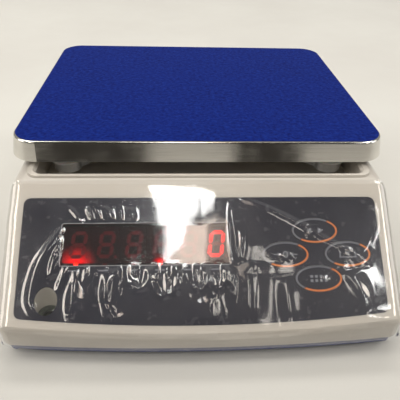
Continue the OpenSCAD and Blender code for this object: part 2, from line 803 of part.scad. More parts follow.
module battery_door() {
    color("#2c4670") translate([battery_mid[0], battery_mid[1], 0]) difference() {
        union() {
            translate([0, 0, base_z]) rounded_block(battery_size[0] + 6.4, battery_size[1] + 13.4, 1.2, 3);
            translate([0, 0, base_z]) rounded_block(battery_size[0] + 1.4, battery_size[1] + 3.4, wall - 0.1, 2);
        }
        translate([0, battery_size[1] / 2 + 4.6, 0]) cylinder(r = 1.2 + fit_gap, h = 20);
        for (i = [-2:2]) translate([0, -battery_size[1] / 2 + 10 + i * 3, base_z - 0.1]) slot(30, 1.2, 0.5);
    }
}

module battery_door_screw() {
    color(steel) translate([battery_mid[0], battery_mid[1] + battery_size[1] / 2 + 4.6, base_z])
        rotate([180, 0, 0]) {
            translate([0, 0, -1.25]) cylinder(r = 1.2, h = 1.3);
            cylinder(r1 = 2.4, r2 = 2, h = 1.2);
        }
}

board_mid = [84, 21];
board_size = [72, 96];
board_z = 14;
board_screw_places = [for (sx = [-1, 1], sy = [-1, 1])
    [board_mid[0] + sx * (board_size[0] / 2 - 4), board_mid[1] + sy * (board_size[1] / 2 - 4)]];

module main_board() {
    color(board_green) difference() {
        translate([board_mid[0], board_mid[1], board_z]) rounded_block(board_size[0], board_size[1], board_t, 1);
        for (p = board_screw_places) translate([p[0], p[1], 0]) cylinder(r = 1.5 + fit_gap, h = 30);
    }
}

// Chips, capacitors, sounder and connectors on the main board
module board_parts() {
    color("#26282b") translate([board_mid[0], board_mid[1], board_z + board_t]) {
        translate([-10, -8, 0]) cube([18, 14, 2.2]);
        translate([-24, 18, 0]) cube([12, 8, 2.5]);
        translate([14, -32, 0]) cylinder(r = 6, h = 8);
        for (i = [0:2]) translate([22, -6 + i * 14, 0]) cylinder(r = 4.5, h = 14);
        translate([-34, -12, 0]) cube([7, 20, 8]);
        translate([-8, 36, 0]) cube([20, 7, 8]);
        translate([-14, -44, 0]) cube([22, 6, 8]);
        translate([-30, -40, 0]) cube([9, 6, 7]);
    }
}

// Screws of the main board and the battery strap
module inner_screws() {
    color(steel) {
        for (p = board_screw_places) translate([p[0], p[1], board_z + board_t]) pan_screw(7, 1.5);
        for (p = strap_screw_places) translate([p[0], p[1], strap_z + 1]) pan_screw(4.6, 1.5);
    }
}

module transformer() {
    color("#8d8f8e") translate([90, 115, floor_z + 1]) {
        translate([-24, -12, 0]) cube([48, 24, 40]);
        translate([-15, -19, 6]) cube([30, 38, 28]);
        for (s = [-1, 1]) translate([s * 27 - 4, -8, 0]) cube([8, 16, 2]);
    }
}

module power_inlet() {
    depth = 22;
    color("#17181a") translate([inlet_x, pocket_y, pocket_z]) rotate([-90, 0, 0]) difference() {
        union() {
            rounded_block(48, 24, 2, 4);
            translate([0, 0, 2 - depth]) rounded_block(28, 20, depth, 1.8);
        }
        translate([0, 0, 2 - depth + 4]) difference() {
            rounded_block(24.4, 16.4, depth, 2);
            // the three blades that stand in the socket
            for (p = [[-7, -2], [7, -2], [0, 2]])
                translate([p[0] - 1, p[1] - 2, -1]) cube([2, 4, depth - 9.5]);
        }
        for (s = [-1, 1]) translate([s * 20, 0, -5]) cylinder(r = 1.5 + fit_gap, h = 20);
    }
}

module inlet_screws() {
    color(steel) for (s = [-1, 1]) translate([inlet_x + s * 20, pocket_y + 2, pocket_z])
        rotate([-90, 0, 0]) pan_screw(6, 1.5);
}

// Frame of the rocker switch; the rocker turns in it about an axis across
module switch_body() {
    color("#17181a") translate([rocker_x, pocket_y, pocket_z]) difference() {
        union() {
            translate([0, 0.75, 0]) cube([15, 1.5, 21], center = true);
            translate([0, -7.5, 0]) cube([13, 17, 19], center = true);
        }
        translate([0, 2, 0]) cube([10.4, 16, 16.6], center = true);
        rotate([0, 90, 0]) translate([0, -0.5, 0]) cylinder(r = 1.2 + fit_gap, h = 12.2, center = true);
    }
}

rocker_tilt = 9;

module power_rocker() {
    color("#23252a") translate([rocker_x, pocket_y - 0.5, pocket_z]) rotate([rocker_tilt, 0, 0]) {
        rotate([90, 0, 90]) linear_extrude(10, center = true)
            polygon([[-2.5, -6.8], [1.2, -7.6], [3, -7.4], [1.8, 0], [3, 7.4], [1.2, 7.6], [-2.5, 6.8], [-4.2, 0]]);
        rotate([0, 90, 0]) cylinder(r = 1.2, h = 12, center = true);
    }
}

// ---------- screws, feet ----------

module case_screws() {
    color(steel) for (p = case_screw_places()) translate([p[0], p[1], base_z + 3])
        rotate([180, 0, 0]) pan_screw(16, 2);
}

function foot_places() = [for (y = [foot_front_y, foot_back_y], s = [-1, 1]) [s * foot_x, y]];

module foot_inserts() {
    color("#b08d3c") for (p = foot_places()) translate([p[0], p[1], base_z + 0.3]) difference() {
        cylinder(r = 6, h = 14);
        translate([0, 0, -1]) cylinder(r = stud_r + fit_gap, h = 30);
    }
}

module foot_pad(i) {
    color("#1b1b1c") translate([foot_places()[i][0], foot_places()[i][1], 0]) difference() {
        union() {
            cylinder(r1 = foot_d / 2 - 0.8, r2 = foot_d / 2, h = 1);
            translate([0, 0, 1]) cylinder(r = foot_d / 2, h = foot_pad_h - 1);
        }
        translate([0, 0, 1.6]) cylinder(r = 3 + fit_gap, h = 10);
    }
}

module foot_stud(i) {
    color(steel) translate([foot_places()[i][0], foot_places()[i][1], 0]) {
        difference() {
            translate([0, 0, foot_pad_h]) cylinder(r = foot_d / 2 - 0.6, h = foot_knob_top - foot_pad_h);
            for (k = [0:11]) rotate([0, 0, k * 30]) translate([foot_d / 2 + 0.4, 0, foot_pad_h - 1])
                cylinder(r = 1.8, h = foot_knob_top - foot_pad_h + 2);
        }
        translate([0, 0, 1.7]) cylinder(r = 3, h = foot_pad_h - 1.2);
        translate([0, 0, foot_knob_top - 0.5]) cylinder(r = stud_r, h = foot_stud_top - foot_knob_top);
    }
}
module foot_pad_fl() { foot_pad(0); }
module foot_pad_fr() { foot_pad(1); }
module foot_pad_bl() { foot_pad(2); }
module foot_pad_br() { foot_pad(3); }
module foot_stud_fl() { foot_stud(0); }
module foot_stud_fr() { foot_stud(1); }
module foot_stud_bl() { foot_stud(2); }
module foot_stud_br() { foot_stud(3); }

// ---------- wiring ----------

module cell_cable() {
    color("#9a9a98") tube([[15.6, 87, 41], [22, 86, 40], [31, 79, 33], [38, 65, 28], [44, 47, 27.5],
        [50, 33, 27], [53.5, 23, 26]], 2, [0, 0, 1]);
}

module battery_leads() {
    color("#b3262b") tube([[-57.5, 20.4, 41.4], [-57, 11, 41], [-48, -15, 34], [-20, -37, 26],
        [20, -41, 25], [46, -31, 26], [56.5, -16, 24.6]], 1.2, [0, 0, 1]);
    color("#222222") tube([[-97.5, 20.4, 41.4], [-94, 5, 38], [-66, -31, 27], [-22, -51, 22],
        [24, -53, 21], [54, -39, 23], [60.5, -16, 24.6]], 1.2, [0, 0, 1]);
}

// Flat cable from the display board back to the main board
module display_ribbon() {
    color("#7d8590") translate([83, 0, 0]) rotate([90, 0, 90]) linear_extrude(18, center = true)
        polygon([[-127, 39.6], [-119, 39], [-99, 26], [-61, 23], [-25, 24], [-21, 24.6],
            [-21, 25.6], [-25, 25], [-61, 24], [-99, 27], [-119, 40], [-127, 40.6]]);
}

// Inlet to switch, switch to transformer, transformer to main board
module mains_wires() {
    color("#6b4a2f") {
        tube([[78, 139, 36], [76, 136, 34], [60, 134.6, 32], [46, 137, 35], [43.4, 140, 37.4], [43, 142.9, 38]],
            1.3, [0, 0, 1]);
        tube([[38, 142.9, 44], [38, 136, 41], [44, 127, 33], [54, 117, 28], [62, 112, 27], [65.4, 111, 27]],
            1.3, [0, 0, 1]);
        tube([[96, 95.4, 30], [96, 91, 29.6], [94, 81, 28], [90, 69, 27], [88, 61, 25.4]], 1.3, [0, 0, 1]);
    }
}

// ---------- output ----------

lower_case();
upper_case();
front_panel();
display_window();
display_board();
display_digits();
indicator_leds();
key_switches();
display_board_screws();
level_cup();
level_liquid();
level_lens();
base_plate();
base_plate_screws();
cell_pedestal();
load_cell();
cell_base_bolts();
overload_stop();
corner_stops();
battery();
battery_strap();
battery_door();
battery_door_screw();
main_board();
board_parts();
inner_screws();
transformer();
power_inlet();
inlet_screws();
switch_body();
case_screws();
foot_inserts();
cell_cable();
battery_leads();
display_ribbon();
mains_wires();
clear_cover();
cell_spacer();
spider();
spider_bolts();
pan_cups();
weighing_pan();
pan_film();
key_zero();
key_tare();
key_mode();
key_count();
power_rocker();
foot_pad_fl();
foot_pad_fr();
foot_pad_bl();
foot_pad_br();
foot_stud_fl();
foot_stud_fr();
foot_stud_bl();
foot_stud_br();
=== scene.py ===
"""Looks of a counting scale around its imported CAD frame. Metres, same frame as the CAD."""

import math

import bpy
import numpy as np
from mathutils import Matrix, Vector
from mathutils.bvhtree import BVHTree


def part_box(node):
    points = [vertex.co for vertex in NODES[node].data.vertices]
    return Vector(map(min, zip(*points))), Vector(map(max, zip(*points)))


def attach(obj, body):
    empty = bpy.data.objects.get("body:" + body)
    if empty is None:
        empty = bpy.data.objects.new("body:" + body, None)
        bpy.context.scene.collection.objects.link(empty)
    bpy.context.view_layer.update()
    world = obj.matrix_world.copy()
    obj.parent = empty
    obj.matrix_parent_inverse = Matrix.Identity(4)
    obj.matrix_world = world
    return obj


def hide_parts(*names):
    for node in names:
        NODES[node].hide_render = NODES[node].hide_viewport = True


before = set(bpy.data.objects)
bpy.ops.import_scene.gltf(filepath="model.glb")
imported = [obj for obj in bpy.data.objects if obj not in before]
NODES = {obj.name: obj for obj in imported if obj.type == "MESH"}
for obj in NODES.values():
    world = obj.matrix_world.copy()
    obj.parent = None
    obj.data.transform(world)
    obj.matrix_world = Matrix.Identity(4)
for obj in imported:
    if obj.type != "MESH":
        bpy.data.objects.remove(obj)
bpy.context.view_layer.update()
MM = 0.001
scene = bpy.context.scene
scene.view_settings.view_transform = "Standard"


# ---------------------------------------------------------------- the sloping panel

SLOPE = math.radians(37.5)
UP_SLOPE = Vector((0, math.cos(SLOPE), math.sin(SLOPE)))
NORMAL = Vector((0, -math.sin(SLOPE), math.cos(SLOPE)))
panel_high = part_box("front_panel")[1]
PANEL_AT = Vector((0, panel_high.y - 0.246 * MM, panel_high.z + 0.131 * MM))


def on_panel(x, down, out=0.0):
    """A point of the panel, in mm: across, down the slope from the panel's upper edge, and out."""
    return PANEL_AT + Vector((x * MM, 0, 0)) - UP_SLOPE * (down * MM) + NORMAL * (out * MM)


# ---------------------------------------------------------------- shaders

class Shader:
    """A material and short calls for the nodes in it. Lengths are in millimetres."""

    def __init__(self, name):
        self.mat = bpy.data.materials.new(name)
        self.mat.use_nodes = True
        self.nodes = self.mat.node_tree.nodes
        self.links = self.mat.node_tree.links
        self.nodes.clear()
        self.out = self.add("ShaderNodeOutputMaterial")
        self.place = self.add("ShaderNodeTexCoord").outputs["Object"]

    def add(self, kind, inputs=None, **settings):
        n = self.nodes.new(kind)
        for k, v in settings.items():
            setattr(n, k, v)
        for k, v in (inputs or {}).items():
            self.put(n.inputs[k], v)
        return n

    def put(self, socket, value):
        if isinstance(value, bpy.types.NodeSocket):
            self.links.new(value, socket)
        elif isinstance(value, (tuple, list)) and socket.type == "RGBA":
            socket.default_value = (*value[:3], 1)
        else:
            socket.default_value = value

    def stretched(self, scale):
        """Object coordinates, stretched."""
        m = self.add("ShaderNodeMapping", {"Vector": self.place, "Scale": scale})
        return m.outputs["Vector"]

    def noise(self, size_mm, detail=3.0, rough=0.5, at=None, distortion=0.0):
        n = self.add("ShaderNodeTexNoise", {
            "Vector": at or self.place, "Scale": 1000 / size_mm, "Detail": detail,
            "Roughness": rough, "Distortion": distortion})
        return n.outputs["Fac"]

    def cells(self, size_mm, at=None):
        n = self.add("ShaderNodeTexVoronoi", {"Vector": at or self.place, "Scale": 1000 / size_mm})
        return n.outputs["Distance"]

    def spread(self, value, lo, hi, a=0.3, b=0.7):
        """value from a..b to lo..hi, clamped."""
        n = self.add("ShaderNodeMapRange", {
            "Value": value, "From Min": a, "From Max": b, "To Min": lo, "To Max": hi})
        return n.outputs["Result"]

    def math(self, op, a, b=0.0, clamp=False):
        n = self.add("ShaderNodeMath", operation=op, use_clamp=clamp)
        self.put(n.inputs[0], a)
        self.put(n.inputs[1], b)
        return n.outputs[0]

    def blend(self, fac, a, b):
        n = self.add("ShaderNodeMix", data_type="RGBA")
        self.put(n.inputs["Factor"], fac)
        self.put(n.inputs[6], a)
        self.put(n.inputs[7], b)
        return n.outputs[2]

    def bump(self, height, depth_mm, strength=1.0, normal=None):
        n = self.add("ShaderNodeBump", {
            "Height": height, "Distance": depth_mm * MM, "Strength": strength})
        if normal is not None:
            self.put(n.inputs["Normal"], normal)
        return n.outputs["Normal"]

    def edges(self):
        """1 on convex edges, 0 elsewhere."""
        g = self.add("ShaderNodeNewGeometry")
        return self.spread(g.outputs["Pointiness"], 0, 1, 0.52, 0.6)

    def principled(self, **inputs):
        n = self.add("ShaderNodeBsdfPrincipled", {k.replace("_", " "): v for k, v in inputs.items()})
        self.links.new(n.outputs["BSDF"], self.out.inputs["Surface"])
        return n


def linear(r, g, b):
    """Linear colour from 0..255 display values."""
    def one(c):
        c /= 255
        return c / 12.92 if c <= 0.04045 else ((c + 0.055) / 1.055) ** 2.4
    return (one(r), one(g), one(b))


def scaled(colour, k):
    return tuple(min(1.0, c * k) for c in colour)


def plastic(name, colour, rough=0.35, grain_mm=0.5, grain_depth=0.01, coat=0.0, tint=0.93):
    s = Shader(name)
    cloud = s.spread(s.noise(22, 4), 0, 1)
    speck = s.spread(s.noise(1.3, 2), 0, 1)
    base = s.blend(cloud, scaled(colour, tint), colour)
    base = s.blend(s.math("MULTIPLY", speck, 0.12), base, scaled(colour, 0.8))
    # convex edges are painted lighter: a painted highlight
    base = s.blend(s.math("MULTIPLY", s.edges(), 0.25), base, scaled(colour, 1.25))
    roughness = s.spread(s.noise(7, 4), rough * 0.85, rough * 1.2)
    normal = s.bump(s.noise(grain_mm, 3), grain_depth, 0.6)
    n = s.principled(Base_Color=base, Roughness=roughness, Normal=normal)
    n.inputs["Coat Weight"].default_value = coat
    n.inputs["Coat Roughness"].default_value = 0.12
    return s.mat


def metal(name, colour, rough=0.3, streak=(1, 1, 1), anisotropic=0.0, edge_highlight=0.5):
    s = Shader(name)
    lines = s.noise(2.2, 3, 0.7, at=s.stretched(streak))
    cloud = s.noise(15, 4)
    base = s.blend(s.spread(cloud, 0, 1), scaled(colour, 0.86), colour)
    base = s.blend(s.math("MULTIPLY", s.spread(lines, 0, 1), 0.35), base, scaled(colour, 0.72))
    # convex edges are painted lighter: a painted highlight
    base = s.blend(s.math("MULTIPLY", s.edges(), edge_highlight), base, scaled(colour, 1.25))
    roughness = s.math("ADD", s.spread(lines, rough * 0.8, rough * 1.25),
                       s.spread(cloud, -0.03, 0.05))
    normal = s.bump(lines, 0.012, 0.5)
    n = s.principled(Base_Color=base, Roughness=roughness, Normal=normal)
    n.inputs["Metallic"].default_value = 1.0
    n.inputs["Anisotropic"].default_value = anisotropic
    return s.mat


def rubber(name, colour, rough=0.75, through=0.0):
    s = Shader(name)
    dust = s.spread(s.noise(9, 5), 0, 1, 0.45, 0.75)
    base = s.blend(s.math("MULTIPLY", dust, 0.35), colour, scaled(colour, 1.8))
    # convex edges are painted lighter: a painted highlight
    base = s.blend(s.math("MULTIPLY", s.edges(), 0.3), base, scaled(colour, 1.6))
    n = s.principled(Base_Color=base, Roughness=s.spread(s.noise(3, 3), rough * 0.85, rough * 1.1),
                     Normal=s.bump(s.noise(0.6, 3), 0.02, 0.6))
    n.inputs["Subsurface Weight"].default_value = through
    n.inputs["Subsurface Scale"].default_value = 0.004
    return s.mat


def board(name):
    """Green board with darker traces and tinned pads."""
    s = Shader(name)
    traces = s.add("ShaderNodeTexBrick", {
        "Vector": s.place, "Scale": 180.0, "Color1": (1, 1, 1), "Color2": (1, 1, 1),
        "Mortar": (0, 0, 0), "Mortar Size": 0.012}).outputs["Fac"]
    base = s.blend(traces, linear(24, 92, 48), linear(16, 62, 34))
    pads = s.spread(s.cells(5), 1, 0, 0.1, 0.13)
    base = s.blend(pads, base, linear(170, 165, 150))
    rough = s.spread(s.noise(5, 3), 0.3, 0.45)
    s.principled(Base_Color=base, Roughness=rough, Normal=s.bump(traces, 0.04, 0.5))
    return s.mat


def clear(name, tint, haze=0.04, shine=2.0, crinkle_mm=6.0, crinkle=0.03, body=0.0,
          body_colour=(1, 1, 1), soft=0.0):
    """A clear sheet or lens: what is behind it shows through, and it mirrors by Fresnel.

    haze is the mirror's roughness, soft the share of a much rougher mirror, and body the share of dust.
    """
    s = Shader(name)
    normal = s.bump(s.noise(crinkle_mm, 3, 0.5, distortion=0.6), crinkle, 1.0)
    fresnel = s.add("ShaderNodeFresnel", {"IOR": 1.5, "Normal": normal}).outputs[0]
    amount = s.math("MULTIPLY", fresnel, shine, clamp=True)
    through = s.add("ShaderNodeBsdfTransparent", {"Color": tint}).outputs[0]
    mirror = s.add("ShaderNodeBsdfGlossy", {
        "Color": (1, 1, 1), "Roughness": s.spread(s.noise(12, 3), haze * 0.6, haze * 1.6),
        "Normal": normal}).outputs[0]
    if soft:
        sheen = s.add("ShaderNodeBsdfGlossy", {
            "Color": (1, 1, 1), "Roughness": s.spread(s.noise(8, 3), 0.26, 0.4),
            "Normal": normal}).outputs[0]
        mirror = s.add("ShaderNodeMixShader", {0: soft, 1: mirror, 2: sheen}).outputs[0]
    if body:
        solid = s.add("ShaderNodeBsdfDiffuse", {"Color": body_colour}).outputs[0]
        dust = s.spread(s.noise(14, 5), body * 0.5, body * 1.5)
        through = s.add("ShaderNodeMixShader", {0: dust, 1: through, 2: solid}).outputs[0]
    mix = s.add("ShaderNodeMixShader", {0: amount, 1: through, 2: mirror}).outputs[0]
    s.links.new(mix, s.out.inputs["Surface"])
    return s.mat


def glowing(name, colour, strength, core=0.75):
    """Lit plastic: bright, a little uneven."""
    s = Shader(name)
    uneven = s.spread(s.noise(3, 2), core, 1.0)
    base = s.blend(uneven, scaled(colour, 0.6), colour)
    n = s.principled(Base_Color=base, Roughness=s.spread(s.noise(2, 2), 0.3, 0.5), Emission_Color=base)
    n.inputs["Emission Strength"].default_value = strength
    return s.mat


def blue_film():
    """Protective film with a fine leathery grain, on the pan."""
    s = Shader("pan_film_blue")
    grain = s.noise(3.2, 4, 0.62, distortion=0.4)
    pores = s.cells(1.7)
    cloud = s.noise(60, 4)
    deep, light = linear(0, 10, 80), linear(10, 48, 140)
    base = s.blend(s.spread(grain, 0, 1, 0.32, 0.68), deep, light)
    base = s.blend(s.math("MULTIPLY", s.spread(pores, 0, 1, 0.1, 0.5), 0.35), base, linear(0, 14, 92))
    base = s.blend(s.spread(cloud, 0, 0.3), base, linear(6, 34, 120))
    height = s.math("ADD", s.math("MULTIPLY", grain, 0.7), s.math("MULTIPLY", pores, 0.3))
    n = s.principled(Base_Color=base, Roughness=s.spread(grain, 0.6, 0.46),
                     Normal=s.bump(height, 0.4, 1.0))
    n.inputs["Specular IOR Level"].default_value = 0.06
    return s.mat


def display_face():
    """Dark faces of the digit modules, with painted light: an emission glow round the two lit lamps."""
    s = Shader("digit_module")
    base = s.blend(s.spread(s.noise(9, 3), 0, 1), (0.075, 0.016, 0.03), (0.10, 0.02, 0.04))
    glow = None
    # painted light: emission on the module faces, fading with distance from the two lit lamps
    for i, reach in ((0, 17.0), (3, 8.0)):
        lamp = on_panel(LED_X[i], LED_DOWN, 0)
        away = s.add("ShaderNodeVectorMath", {0: s.place, 1: tuple(lamp)}, operation="DISTANCE")
        fall = s.spread(away.outputs["Value"], 1, 0, 3.2 * MM, reach * MM)
        fall = s.math("POWER", fall, 2.4)
        glow = fall if glow is None else s.math("MAXIMUM", glow, fall)
    n = s.principled(Base_Color=base, Roughness=s.spread(s.noise(4, 3), 0.35, 0.55),
                     Normal=s.bump(s.noise(0.8, 2), 0.01, 0.5),
                     Emission_Color=s.blend(glow, (0, 0, 0), (1.0, 0.02, 0.03)))
    n.inputs["Emission Strength"].default_value = 5.0
    return s.mat


# ---------------------------------------------------------------- mesh helpers

def solid(name, mat, body, verts, faces, smooth=False, slot=None):
    mesh = bpy.data.meshes.new(name)
    mesh.from_pydata([tuple(v) for v in verts], [], faces)
    mesh.validate()
    mesh.update()
    o = bpy.data.objects.new(name, mesh)
    scene.collection.objects.link(o)
    for m in mat if isinstance(mat, (list, tuple)) else [mat]:
        mesh.materials.append(m)
    if smooth:
        mesh.polygons.foreach_set("use_smooth", [True] * len(mesh.polygons))
    if body:
        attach(o, body)
    return o


class Shape:
    """Collects thin printed or moulded shapes on the panel into one mesh."""

    def __init__(self):
        self.verts, self.faces = [], []

    def prism(self, outline, out0, out1):
        """A flat shape with thickness; outline is (across, down) pairs in mm, convex or not."""
        n, k = len(outline), len(self.verts)
        for out in (out0, out1):
            self.verts += [on_panel(x, d, out) for x, d in outline]
        self.faces.append([k + n + i for i in range(n)])
        self.faces.append([k + i for i in reversed(range(n))])
        for i in range(n):
            j = (i + 1) % n
            self.faces.append([k + i, k + j, k + n + j, k + n + i])
        return self

    def band(self, outer, inner, out0, out1, closed=True):
        """A strip between two lines of points, with thickness."""
        n, k = len(outer), len(self.verts)
        for out in (out0, out1):
            self.verts += [on_panel(x, d, out) for x, d in outer]
            self.verts += [on_panel(x, d, out) for x, d in inner]
        for i in range(n if closed else n - 1):
            j = (i + 1) % n
            a, b, c, d = k + i, k + j, k + n + j, k + n + i
            up = 2 * n
            self.faces += [[a + up, b + up, c + up, d + up], [d, c, b, a],
                           [a, b, b + up, a + up], [c, d, d + up, c + up]]
        if not closed:
            up = 2 * n
            for i in (0, n - 1):
                self.faces.append([k + i, k + n + i, k + n + i + up, k + i + up])
        return self

    def make(self, name, mat, body="base", slot=None):
        return solid(name, mat, body, self.verts, self.faces, slot=slot)


def rounded(cx, cd, w, h, r, n=6):
    """Rounded rectangle as (across, down) points."""
    pts = []
    for sx, sd, a0 in ((1, 1, 0), (-1, 1, 90), (-1, -1, 180), (1, -1, 270)):
        for i in range(n + 1):
            a = math.radians(a0 + 90 * i / n)
            pts.append((cx + sx * (w / 2 - r) + r * math.cos(a), cd + sd * (h / 2 - r) + r * math.sin(a)))
    return pts


def ellipse(cx, cd, a, b, t0, t1, n):
    """Points of an ellipse; t in degrees, 0 to the right and 90 up the slope."""
    return [(cx + a * math.cos(math.radians(t0 + (t1 - t0) * i / n)),
             cd - b * math.sin(math.radians(t0 + (t1 - t0) * i / n))) for i in range(n + 1)]


# ---------------------------------------------------------------- camera, light, floor

def camera():
    """The photograph's viewpoint: a phone held over the front, turned slightly right."""
    pitch, yaw, roll = 0.629, 0.067, -0.035
    fwd = Vector((math.sin(yaw) * math.cos(pitch), math.cos(yaw) * math.cos(pitch), -math.sin(pitch)))
    right = Vector((math.cos(yaw), -math.sin(yaw), 0))
    down = fwd.cross(right)
    r2 = right * math.cos(roll) + down * math.sin(roll)
    d2 = down * math.cos(roll) - right * math.sin(roll)
    film_low, film_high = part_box("pan_film")
    at = Vector((-0.0199, film_low.y - 0.2998, film_high.z + 0.1635))
    data = bpy.data.cameras.new("camera")
    data.sensor_width = 36
    data.lens = 40.5
    data.clip_start, data.clip_end = 0.01, 50
    cam = bpy.data.objects.new("camera", data)
    scene.collection.objects.link(cam)
    cam.matrix_world = Matrix((
        (r2.x, -d2.x, -fwd.x, at.x),
        (r2.y, -d2.y, -fwd.y, at.y),
        (r2.z, -d2.z, -fwd.z, at.z),
        (0, 0, 0, 1)))
    scene.camera = cam
    return at


def lamp(name, at, aim, size, power, colour=(1, 1, 1)):
    data = bpy.data.lights.new(name, "AREA")
    data.shape = "RECTANGLE"
    data.size, data.size_y = size
    data.energy = power
    data.color = colour
    o = bpy.data.objects.new(name, data)
    scene.collection.objects.link(o)
    o.location = at
    o.rotation_mode = "QUATERNION"
    o.rotation_quaternion = (Vector(aim) - Vector(at)).to_track_quat("-Z", "Y")
    return o


def mirrored(eye, point, height):
    """Where a ray from the eye, mirrored in the panel at point, meets a ceiling at height."""
    d = (point - eye).normalized()
    d = d - 2 * d.dot(NORMAL) * NORMAL
    return point + d * ((height - point.z) / d.z)


def studio(eye):
    world = bpy.data.worlds.new("studio")
    scene.world = world
    world.use_nodes = True
    t = world.node_tree
    t.nodes.clear()
    out = t.nodes.new("ShaderNodeOutputWorld")
    back = t.nodes.new("ShaderNodeBackground")
    back.inputs["Strength"].default_value = 0.42
    grad = t.nodes.new("ShaderNodeTexGradient")
    mapping = t.nodes.new("ShaderNodeMapping")
    coord = t.nodes.new("ShaderNodeTexCoord")
    ramp = t.nodes.new("ShaderNodeValToRGB")
    mapping.inputs["Rotation"].default_value = (0, math.radians(90), 0)
    mapping.inputs["Location"].default_value = (0.5, 0, 0)
    mapping.inputs["Scale"].default_value = (0.5, 0.5, 0.5)
    t.links.new(coord.outputs["Generated"], mapping.inputs["Vector"])
    t.links.new(mapping.outputs["Vector"], grad.inputs["Vector"])
    t.links.new(grad.outputs["Fac"], ramp.inputs["Fac"])
    ramp.color_ramp.elements[0].color = (0.50, 0.49, 0.47, 1)
    ramp.color_ramp.elements[1].color = (1.0, 0.99, 0.96, 1)
    t.links.new(ramp.outputs["Color"], back.inputs["Color"])
    t.links.new(back.outputs["Background"], out.inputs["Surface"])

    # lamps: two long ones at the sides, one behind, two low windows
    cream = (1.0, 0.98, 0.94)
    lamp("left", (-1.5, 0.1, 2.3), (0, 0, 0), (0.5, 1.6), 17, cream)
    lamp("right", (2.0, 0.1, 2.3), (0, 0, 0), (0.5, 1.6), 16, cream)
    lamp("back", (0.1, 1.5, 2.3), (0, 0, 0), (2.4, 0.5), 22, cream)
    lamp("side_left", (-2.2, -0.3, 1.0), (0, 0, 0.1), (1.2, 1.0), 12, (1.0, 0.97, 0.92))
    lamp("side_right", (2.2, -0.3, 1.0), (0, 0, 0.1), (1.2, 1.0), 7, (0.97, 0.98, 1.0))
    # light on the slope, left out of mirror images
    front = lamp("front", (-0.4, -1.5, 2.5), (0, 0, 0.05), (1.8, 1.2), 21, cream)
    front.visible_glossy = False
    dark_ceiling()
    reflections(eye)


def dark_cloth():
    s = Shader("dark_cloth")
    s.principled(Base_Color=s.blend(s.noise(200, 2), (0.02, 0.018, 0.016), (0.05, 0.045, 0.04)),
                 Roughness=0.9)
    return s.mat


def only_mirrored(o):
    """Seen in mirror finishes only; casts no shade and lights nothing by diffuse light."""
    for k in ("visible_camera", "visible_diffuse", "visible_shadow", "visible_transmission",
              "visible_volume_scatter"):
        setattr(o, k, False)


def dark_ceiling():
    """Dark ceiling over the viewer's head, so that the clear film shows what lies under it.

    Two dark upright cards in front of the scale give the pan's steel rim its dark bands.
    """
    mat = dark_cloth()
    o = solid("dark_ceiling", mat, None,
              [(-4.0, -4.0, 2.4), (4.0, -4.0, 2.4), (4.0, -0.6, 2.4), (-4.0, -0.6, 2.4)], [[0, 1, 2, 3]])
    only_mirrored(o)
    for i, (x0, x1) in enumerate(((-0.302, -0.07), (0.09, 0.222))):
        low, high = ((x0, -0.56, 0.001), (x1, -0.56, 0.001)), ((x1, -0.6, 0.45), (x0, -0.6, 0.45))
        o = solid("dark_card_%d" % i, mat, None, low + high, [[0, 1, 2, 3]])
        only_mirrored(o)


def glow(name, strength, colour):
    """Emission that varies a little over the shape."""
    s = Shader(name)
    cloud = s.spread(s.noise(160, 3), 0.75, 1.0)
    e = s.add("ShaderNodeEmission", {"Color": colour, "Strength": s.math("MULTIPLY", cloud, strength)})
    s.links.new(e.outputs[0], s.out.inputs["Surface"])
    return s.mat


def reflections(eye):
    """Lit shapes on the ceiling, seen in mirror finishes only."""
    height = CEILING
    # long strips at both sides, which light the flanks of the film's creases
    for name, x0, x1 in (("strip_left", -1.9, -1.4), ("strip_right", 1.8, 2.3)):
        corners = [(x, y, height) for x, y in ((x0, -2.1), (x1, -2.1), (x1, -0.65), (x0, -0.65))]
        o = solid(name, glow(name, 9.0, PEARL), None, corners, [[0, 1, 2, 3]])
        only_mirrored(o)
    for name, strength, colour, outline in REFLECTIONS:
        points = [mirrored(eye, on_panel(x, d), height) for x, d in outline]
        height -= 0.004
        o = solid(name, glow(name, strength, colour), None, points, [list(range(len(points)))])
        only_mirrored(o)


CEILING = 2.3
WHITE, SALMON, PEARL = (1.0, 0.99, 0.97), (1.0, 0.84, 0.71), (1.0, 0.93, 0.84)

# (name, strength, colour, corners of its mirror image on the panel: across and down, in mm)
# The corners follow the glare in the reference picture. A separate program turned them into places on
# the panel, so this table isn't made by hand, and it suits the first camera's view only.
REFLECTIONS = [
    ("lamp_wedge", 14.0, WHITE, [
        (-39, -9.6), (-2, -9.5), (-1.7, 0), (-3, 12), (-9.7, 19.5), (-14, 29), (-13.5, 35.5), (-22, 42),
        (-28.5, 46.5), (-29.5, 46), (-28.5, 39), (-28, 26), (-29, 22), (-32, 19), (-34, 9.5), (-36.6, 1)]),
    ("lamp_haze", 8.0, SALMON, [
        (-9.7, 20), (3, 20), (2, 49), (-27, 47.5), (-22, 42), (-13.5, 35.5), (-14, 29)]),
    ("lamp_haze_dim", 2.2, SALMON, [(3, 20), (18.6, 20.3), (19.2, 32), (18.2, 50), (2, 49)]),
    ("lamp_spot", 12.0, WHITE, [(-54, 61), (-50, 43.5), (-46, 48), (-42.5, 57), (-47, 56.5), (-52, 55)]),
    ("lamp_flame", 16.0, WHITE, [
        (133.6, 16), (128, 23.6), (125, 35.3), (115, 52), (115.4, 61), (129.5, 68), (127, 52), (124, 46),
        (130, 29)]),
    ("lamp_corner", 14.0, WHITE, [
        (113, 85), (124.5, 81.5), (136, 81), (133, 87), (127.5, 89.7), (122.5, 85.3)]),
    ("streak_a", 6.0, PEARL, [(36.5, 50), (48, 48), (45, 69), (35.5, 88)]),
    ("streak_b", 6.0, PEARL, [(56.3, 60), (60.4, 59), (62.7, 88.6), (55, 89), (54, 73)]),
    ("streak_c", 6.0, PEARL, [(104, 57), (106, 66), (120.6, 81), (112, 84.6), (99.6, 68)]),
]


